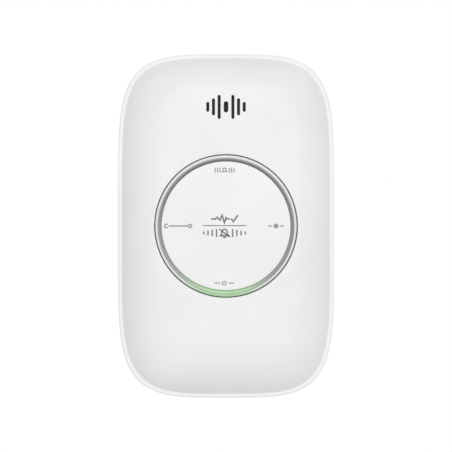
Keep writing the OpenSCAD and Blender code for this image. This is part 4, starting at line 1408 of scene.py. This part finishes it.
def pins():
    """Through-hole leads, each with a fillet of solder under the board and a small one on top."""
    shape = Shape()
    for x, y in PINS:
        shape.lathe([(0, UNDER - 0.9), (0.26, UNDER - 0.88), (0.38, UNDER - 0.76), (0.42, UNDER - 0.62),
                     (0.52, UNDER - 0.4), (0.68, UNDER - 0.2), (0.88, UNDER - 0.06), (0.9, UNDER + 0.02),
                     (0.4, UNDER + 0.03), (0.4, TOP - 0.01), (0.6, TOP - 0.01), (0.52, TOP + 0.08),
                     (0.4, TOP + 0.16), (0, TOP + 0.17)], (x, y), 24)
    return shape


add_piece(pins(), "soldered_pins", "alarm", "solder", TIN, ("component_pins",), degrees=50)


# ------------------------------------------------------------------ parts on the board

# the side view of a chip's lead, outward and upward from the case
WING = [(-0.1, 0.5), (0.26, 0.5), (0.36, 0.4), (0.42, 0.1), (0.5, 0.0), (0.9, 0.0), (0.9, 0.14), (0.6, 0.15),
        (0.53, 0.2), (0.47, 0.5), (0.38, 0.62), (0.3, 0.65), (-0.1, 0.65)]


def chip(name, at, w, h, t, count, pitch, four_sided):
    case = Shape()
    rings = []
    for inward, z in ((0.14, 0.1), (0.02, 0.5), (0, 0.58), (0.02, 0.66), (0.14, t - 0.06), (0.2, t)):
        loop = rounded_rect(w - 2 * inward, h - 2 * inward, 0.25, at, arc=3)
        rings.append(case.ring([(x, y, TOP + z) for x, y in loop]))
    case.closed_stack(rings)
    dimple = rod(0.42, TOP + t - 0.07, TOP + t + 0.2, (at[0] - w / 2 + 1, at[1] + h / 2 - 1), 28)
    add_piece(combine(case, ("DIFFERENCE", dimple)), name + "_case", "alarm", "chip_epoxy", EPOXY, (name,))
    leads = Shape()
    for turn in ((0, 90, 180, 270) if four_sided else (0, 180)):
        spin = Matrix.Translation((*at, TOP)) @ Matrix.Rotation(math.radians(turn), 4, "Z")
        for i in range(count):
            off = (i - (count - 1) / 2) * pitch
            leads.extrude(WING, lambda a, across, up: spin @ Vector((w / 2 + a, off + across, up)),
                          pitch * 0.45)
    add_piece(leads, name + "_leads", "alarm", "solder", TIN, (name,), degrees=40)


chip("microcontroller", (17, -37), 7, 7, 1.2, 8, 0.8, True)
chip("sensor_amplifier", (-15, -38), 4, 5, 1.4, 4, 1.27, False)


def in_rows(rows, columns, pitch, corner):
    return [(corner[0] + c * pitch[0], corner[1] + r * pitch[1]) for r in range(rows) for c in range(columns)]


def passives(name, size, places, slot, material):
    """Small surface parts: a body with a tinned cap wrapped round each end."""
    w, h, t = size
    bodies, caps = Shape(), Shape()
    for x, y in places:
        long_x = w > h
        bw, bh = (w - 0.4, h - 0.04) if long_x else (w - 0.04, h - 0.4)
        bodies.prism(rounded_rect(bw, bh, 0.05, (x, y), arc=2), TOP + 0.02, TOP + t - 0.02, 0.03)
        for side in (-1, 1):
            at = (x + side * (w / 2 - 0.13), y) if long_x else (x, y + side * (h / 2 - 0.13))
            cw, ch = (0.26, h) if long_x else (w, 0.26)
            caps.prism(rounded_rect(cw, ch, 0.07, at, arc=2), TOP, TOP + t, 0.05)
            fillet = (x + side * (w / 2 + 0.08), y) if long_x else (x, y + side * (h / 2 + 0.08))
            fw, fh = (0.4, h * 0.9) if long_x else (w * 0.9, 0.4)
            caps.prism(rounded_rect(fw, fh, 0.1, fillet, arc=2), TOP - 0.02, TOP + 0.14, 0.06)
    add_piece(bodies, name + "_bodies", "alarm", slot, material, (name,))
    add_piece(caps, name + "_caps", "alarm", "solder", TIN, (name,))


RESISTOR = two_tone("resistor_film", -(TOP + 0.42), (0.02, 0.02, 0.022), (0.62, 0.6, 0.56), axis=1)
CERAMIC = plastic("capacitor_ceramic", (0.42, 0.27, 0.14), 0.45, grain=0.1, relief=0.004, drift=0.1)
passives("chip_resistors", (1.6, 0.8, 0.5),
         in_rows(5, 2, (2.6, 1.5), (-23, -36)) + in_rows(2, 5, (2.5, 1.5), (-5, 26.2)),
         "resistor_film", RESISTOR)
passives("chip_capacitors", (0.8, 1.6, 0.7),
         in_rows(3, 1, (0, 2.4), (24.5, -40)) + in_rows(1, 4, (1.6, 0), (-20, -27.5)),
         "capacitor_ceramic", CERAMIC)

COIL_AT = (-18, 32)
add_piece(turned([(0, 0), (2.85, 0), (3, 0.15), (3, 0.85), (2.85, 1), (2, 1.02), (2, 3.98), (2.85, 4),
                  (3, 4.15), (3, 4.8), (2.8, 5), (1.2, 5), (1.1, 4.9), (0, 4.9)], COIL_AT, 64, TOP),
          "coil_core", "alarm", "coil_ferrite", FERRITE, ("boost_coil",))
turns = 11
winding = [(1.95, TOP + 1.03)]
for i in range(turns * 6 + 1):
    u = i / 6 % 1
    winding.append((2.5 + 0.13 * math.sin(math.pi * u), TOP + 1.03 + 2.94 * i / (turns * 6)))
winding.append((1.95, TOP + 3.97))
add_piece(turned(winding, COIL_AT, 64, closed=True), "coil_winding", "alarm", "contact_metal", COPPER,
          ("boost_coil",), degrees=70)

SLEEVE = plastic("capacitor_sleeve", (0.02, 0.026, 0.07), 0.28, grain=0.6, relief=0.004, drift=0.15)
STRIPE = plastic("sleeve_stripe", (0.62, 0.64, 0.66), 0.35, grain=0.3, relief=0.003)
for label, at in (("a", (17, 33)), ("b", (22.6, 28.4))):
    add_piece(turned([(0, 0.02), (2.2, 0.02), (2.42, 0.1), (2.5, 0.3), (2.5, 1.1), (2.44, 1.25), (2.35, 1.35),
                      (2.35, 1.6), (2.44, 1.7), (2.5, 1.85), (2.5, 6.6), (2.45, 6.86), (2.3, 6.98), (2.1, 7),
                      (1.95, 6.96), (1.9, 6.86), (0, 6.8)], at, 64, TOP),
              "capacitor_sleeve_" + label, "alarm", "capacitor_sleeve", SLEEVE, ("storage_capacitors",))
    lid = turned([(0, 6.7), (1.96, 6.7), (1.94, 6.9), (1.8, 6.93), (0, 6.93)], at, 48, TOP)
    score = [("DIFFERENCE", slab(w, h, 0.1, TOP + 6.85, TOP + 7.2, at))
             for w, h in ((2.8, 0.22), (0.22, 2.8))]
    add_piece(combine(lid, *score), "capacitor_lid_" + label, "alarm", "contact_metal", ALUMINIUM,
              ("storage_capacitors",), bevel=0.03)
    stripe = Shape()
    columns = [on_orbit(1, a) for a in range(-28, 29, 7)]
    rows = [stripe.ring([(at[0] + r * x, at[1] + r * y, z) for x, y in columns] +
                        [(at[0] + (r - 0.04) * x, at[1] + (r - 0.04) * y, z) for x, y in reversed(columns)])
            for r, z in ((2.515, TOP + 1.95), (2.515, TOP + 6.5))]
    stripe.closed_stack(rows)
    add_piece(stripe, "capacitor_stripe_" + label, "alarm", "capacitor_sleeve", STRIPE)

# name, direction, slot, colour and glow
LAMPS = [("alarm", 90, "led_red", (0.75, 0.06, 0.04), 0),
         ("malfunction", 180, "led_orange", (0.85, 0.3, 0.03), 0),
         ("power", 270, "led_green", (0.15, 0.75, 0.2), 1.5),
         ("fault", 0, "led_yellow", (0.85, 0.6, 0.05), 0)]
for label, degrees, slot, colour, glow in LAMPS:
    case = Shape()
    round_legs(case, 2.6, 3, TOP + 0.02, TOP + 0.8, LED_R, (degrees,), 0.08)
    spot = on_orbit(LED_R, degrees)
    cup = rod(1.05, TOP + 0.55, TOP + 1, spot)
    add_piece(combine(case, ("DIFFERENCE", cup)), f"led_{label}_case", "alarm", slot, WHITE_CASE,
              ("led_" + label,))
    feet = Shape()
    for side in (-1, 1):
        u = math.radians(degrees)
        centre = Vector((*spot, TOP + 0.12)) + Vector((-math.sin(u), math.cos(u), 0)) * side * 1.45
        feet.prism([(centre.x + p[0], centre.y + p[1]) for p in circle(0.5, 4)], TOP, TOP + 0.3, 0.04)
    add_piece(feet, f"led_{label}_feet", "alarm", "solder", TIN, ("led_" + label,))
    tint = Nodes("lens_" + label).set(Roughness=0.12, Coat_Weight=0.4, Emission_Strength=glow)
    tint.link(tint.ramp(tint.noise(0.4), (0.3, shaded(colour, 0.8)), (0.7, colour)), "Base Color")
    tint.shader.inputs["Emission Color"].default_value = (*colour, 1)
    add_piece(turned([(0, 0.95), (0.5, 0.93), (0.82, 0.86), (1.0, 0.74), (1.02, 0.5), (0, 0.5)], spot, 40,
                     TOP),
              f"led_{label}_lens", "alarm", slot, tint.material, ("led_" + label,))


# ------------------------------------------------------------------ sounder, sensor and switch

SOUNDER_AT, SENSOR_AT = (0, 38.3), (0, -40.5)
sounder = turned([(2.2, 30.1), (2.2, 31.15), (2.35, 31.3), (6.0, 31.3), (6.1, 31.22), (6.5, 31.22),
                  (6.6, 31.3), (9.05, 31.3), (9.25, 31.22), (9.85, 30.6), (10, 30.35), (10, 24.4),
                  (9.85, 24.3), (9.85, 24.0), (10, 23.9), (10, 23.15), (9.85, 23.02), (8.4, 23.02),
                  (8.4, 27), (9.1, 27), (9.1, 30.1)], SOUNDER_AT, 128, closed=True)
add_piece(sounder, "sounder_case", "alarm", "black_plastic", BLACK, ("sounder_housing",))

add_piece(turned([(0, 23.02), (7.15, 23.02), (7.3, 23.2), (7.3, 24.2), (7.15, 24.38), (0, 24.38)], SENSOR_AT),
          "sensor_foot", "alarm", "black_plastic", BLACK, ("sensor_base",))
add_piece(turned([(0, 30.48), (4.45, 30.48), (4.5, 30.55), (4.5, 30.85), (4.62, 31), (6.3, 31), (6.7, 30.86),
                  (6.93, 30.6), (7, 30.3), (7, 26.95), (6.9, 26.85), (6.7, 26.8), (6.65, 26.7), (6.65, 26.1),
                  (6.7, 26.0), (6.9, 25.95), (7, 25.85), (7, 24.6), (7.08, 24.4), (0, 24.4)], SENSOR_AT, 128),
          "sensor_case", "alarm", "sensor_steel", CAN, ("sensor_can",))

bore = ("DIFFERENCE", rod(1.83, TOP + 2, TOP + 5))
add_piece(combine(slab(6.2, 6.2, 0.3, TOP + 0.02, TOP + 4), bore), "switch_block", "alarm",
          "black_plastic", BLACK, ("switch_body",), bevel=0.08)
tabs = [("UNION", Shape().add(block(0.2, 3, TOP + 1.2, TOP + 4.1).mesh("tab"), [Vector((side * 3.2, 0, 0))]))
        for side in (-1, 1)]
studs = [("UNION", rod(0.4, TOP + 4.2, TOP + 4.42, (x * 2.5, y * 2.5), 24)) for x in (-1, 1) for y in (-1, 1)]
window = ("DIFFERENCE", rod(1.95, TOP + 3, TOP + 5))
add_piece(combine(slab(6.6, 6.6, 0.5, TOP + 4, TOP + 4.3), *tabs, *studs, window),
          "switch_lid", "alarm", "switch_metal", NICKEL, ("switch_cover",), bevel=0.05)
add_piece(turned([(0, 26.2), (1.65, 26.2), (1.75, 26.3), (1.75, 29.7), (1.66, 29.9), (1.45, 30), (0, 30)],
                 steps=48),
          "switch_stem", "plunger", "plunger_plastic", BLACK, ("switch_plunger",))

for name, width in (("sounder_gasket", 0.08), ("sounder_plate", 0.04), ("sounder_ceramic", 0.04),
                    ("sensor_filter", 0.05)):
    soften(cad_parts[name], width)


# ------------------------------------------------------------------ camera and light

def look_at(thing, target):
    thing.rotation_euler = (Vector(target) - thing.location).to_track_quat("-Z", "Y").to_euler()


FRAME_W = 0.1549     # width of wall that the picture spans
DISTANCE = 2.5
camera_data = bpy.data.cameras.new("camera")
camera_data.sensor_width = 36
camera_data.lens = 36 * DISTANCE / FRAME_W
camera_data.clip_end = 20
camera = bpy.data.objects.new("camera", camera_data)
bpy.context.scene.collection.objects.link(camera)
camera.location = (0, -DISTANCE - PARTING_Z * MM, 0)
look_at(camera, (0, 0, 0))
bpy.context.scene.camera = camera
bpy.context.scene.view_settings.view_transform = "Standard"


def softbox(name, place, target, size, power):
    data = bpy.data.lights.new(name, "AREA")
    data.shape = "SQUARE"
    data.size = size
    data.energy = power
    lamp = bpy.data.objects.new(name, data)
    bpy.context.scene.collection.objects.link(lamp)
    lamp.location = place
    look_at(lamp, target)


KEY_POWER, WORLD_LIGHT = 36, 0.59
softbox("key", (0.22, -3.0, 0.75), (0, 0, 0), 1.6, KEY_POWER)

world = bpy.data.worlds.new("studio")
bpy.context.scene.world = world
world.use_nodes = True
background = world.node_tree.nodes["Background"]
background.inputs["Color"].default_value = (1, 1, 1, 1)
background.inputs["Strength"].default_value = WORLD_LIGHT
shown = world.node_tree.nodes.new("ShaderNodeBackground")
shown.inputs["Color"].default_value = (1, 1, 1, 1)
shown.inputs["Strength"].default_value = 1.0
path = world.node_tree.nodes.new("ShaderNodeLightPath")
choice = world.node_tree.nodes.new("ShaderNodeMixShader")
links = world.node_tree.links
links.new(path.outputs["Is Camera Ray"], choice.inputs[0])
links.new(background.outputs[0], choice.inputs[1])
links.new(shown.outputs[0], choice.inputs[2])
links.new(choice.outputs[0], world.node_tree.nodes["World Output"].inputs["Surface"])


def floor():
    shape = Shape()
    half = 6 / MM
    shape.cap(shape.ring([(-half, -half, 0), (half, -half, 0), (half, half, 0), (-half, half, 0)]))
    data = shape.mesh("floor")
    data.transform(Matrix.Scale(MM, 4))
    piece = link(data, "floor")
    piece.location.z = -0.3
    n = Nodes("floor").set(Roughness=0.8)
    n.link(n.ramp(n.noise(300), (0.3, 0.86), (0.7, 0.88)), "Base Color")
    data.materials.append(n.material)


floor()
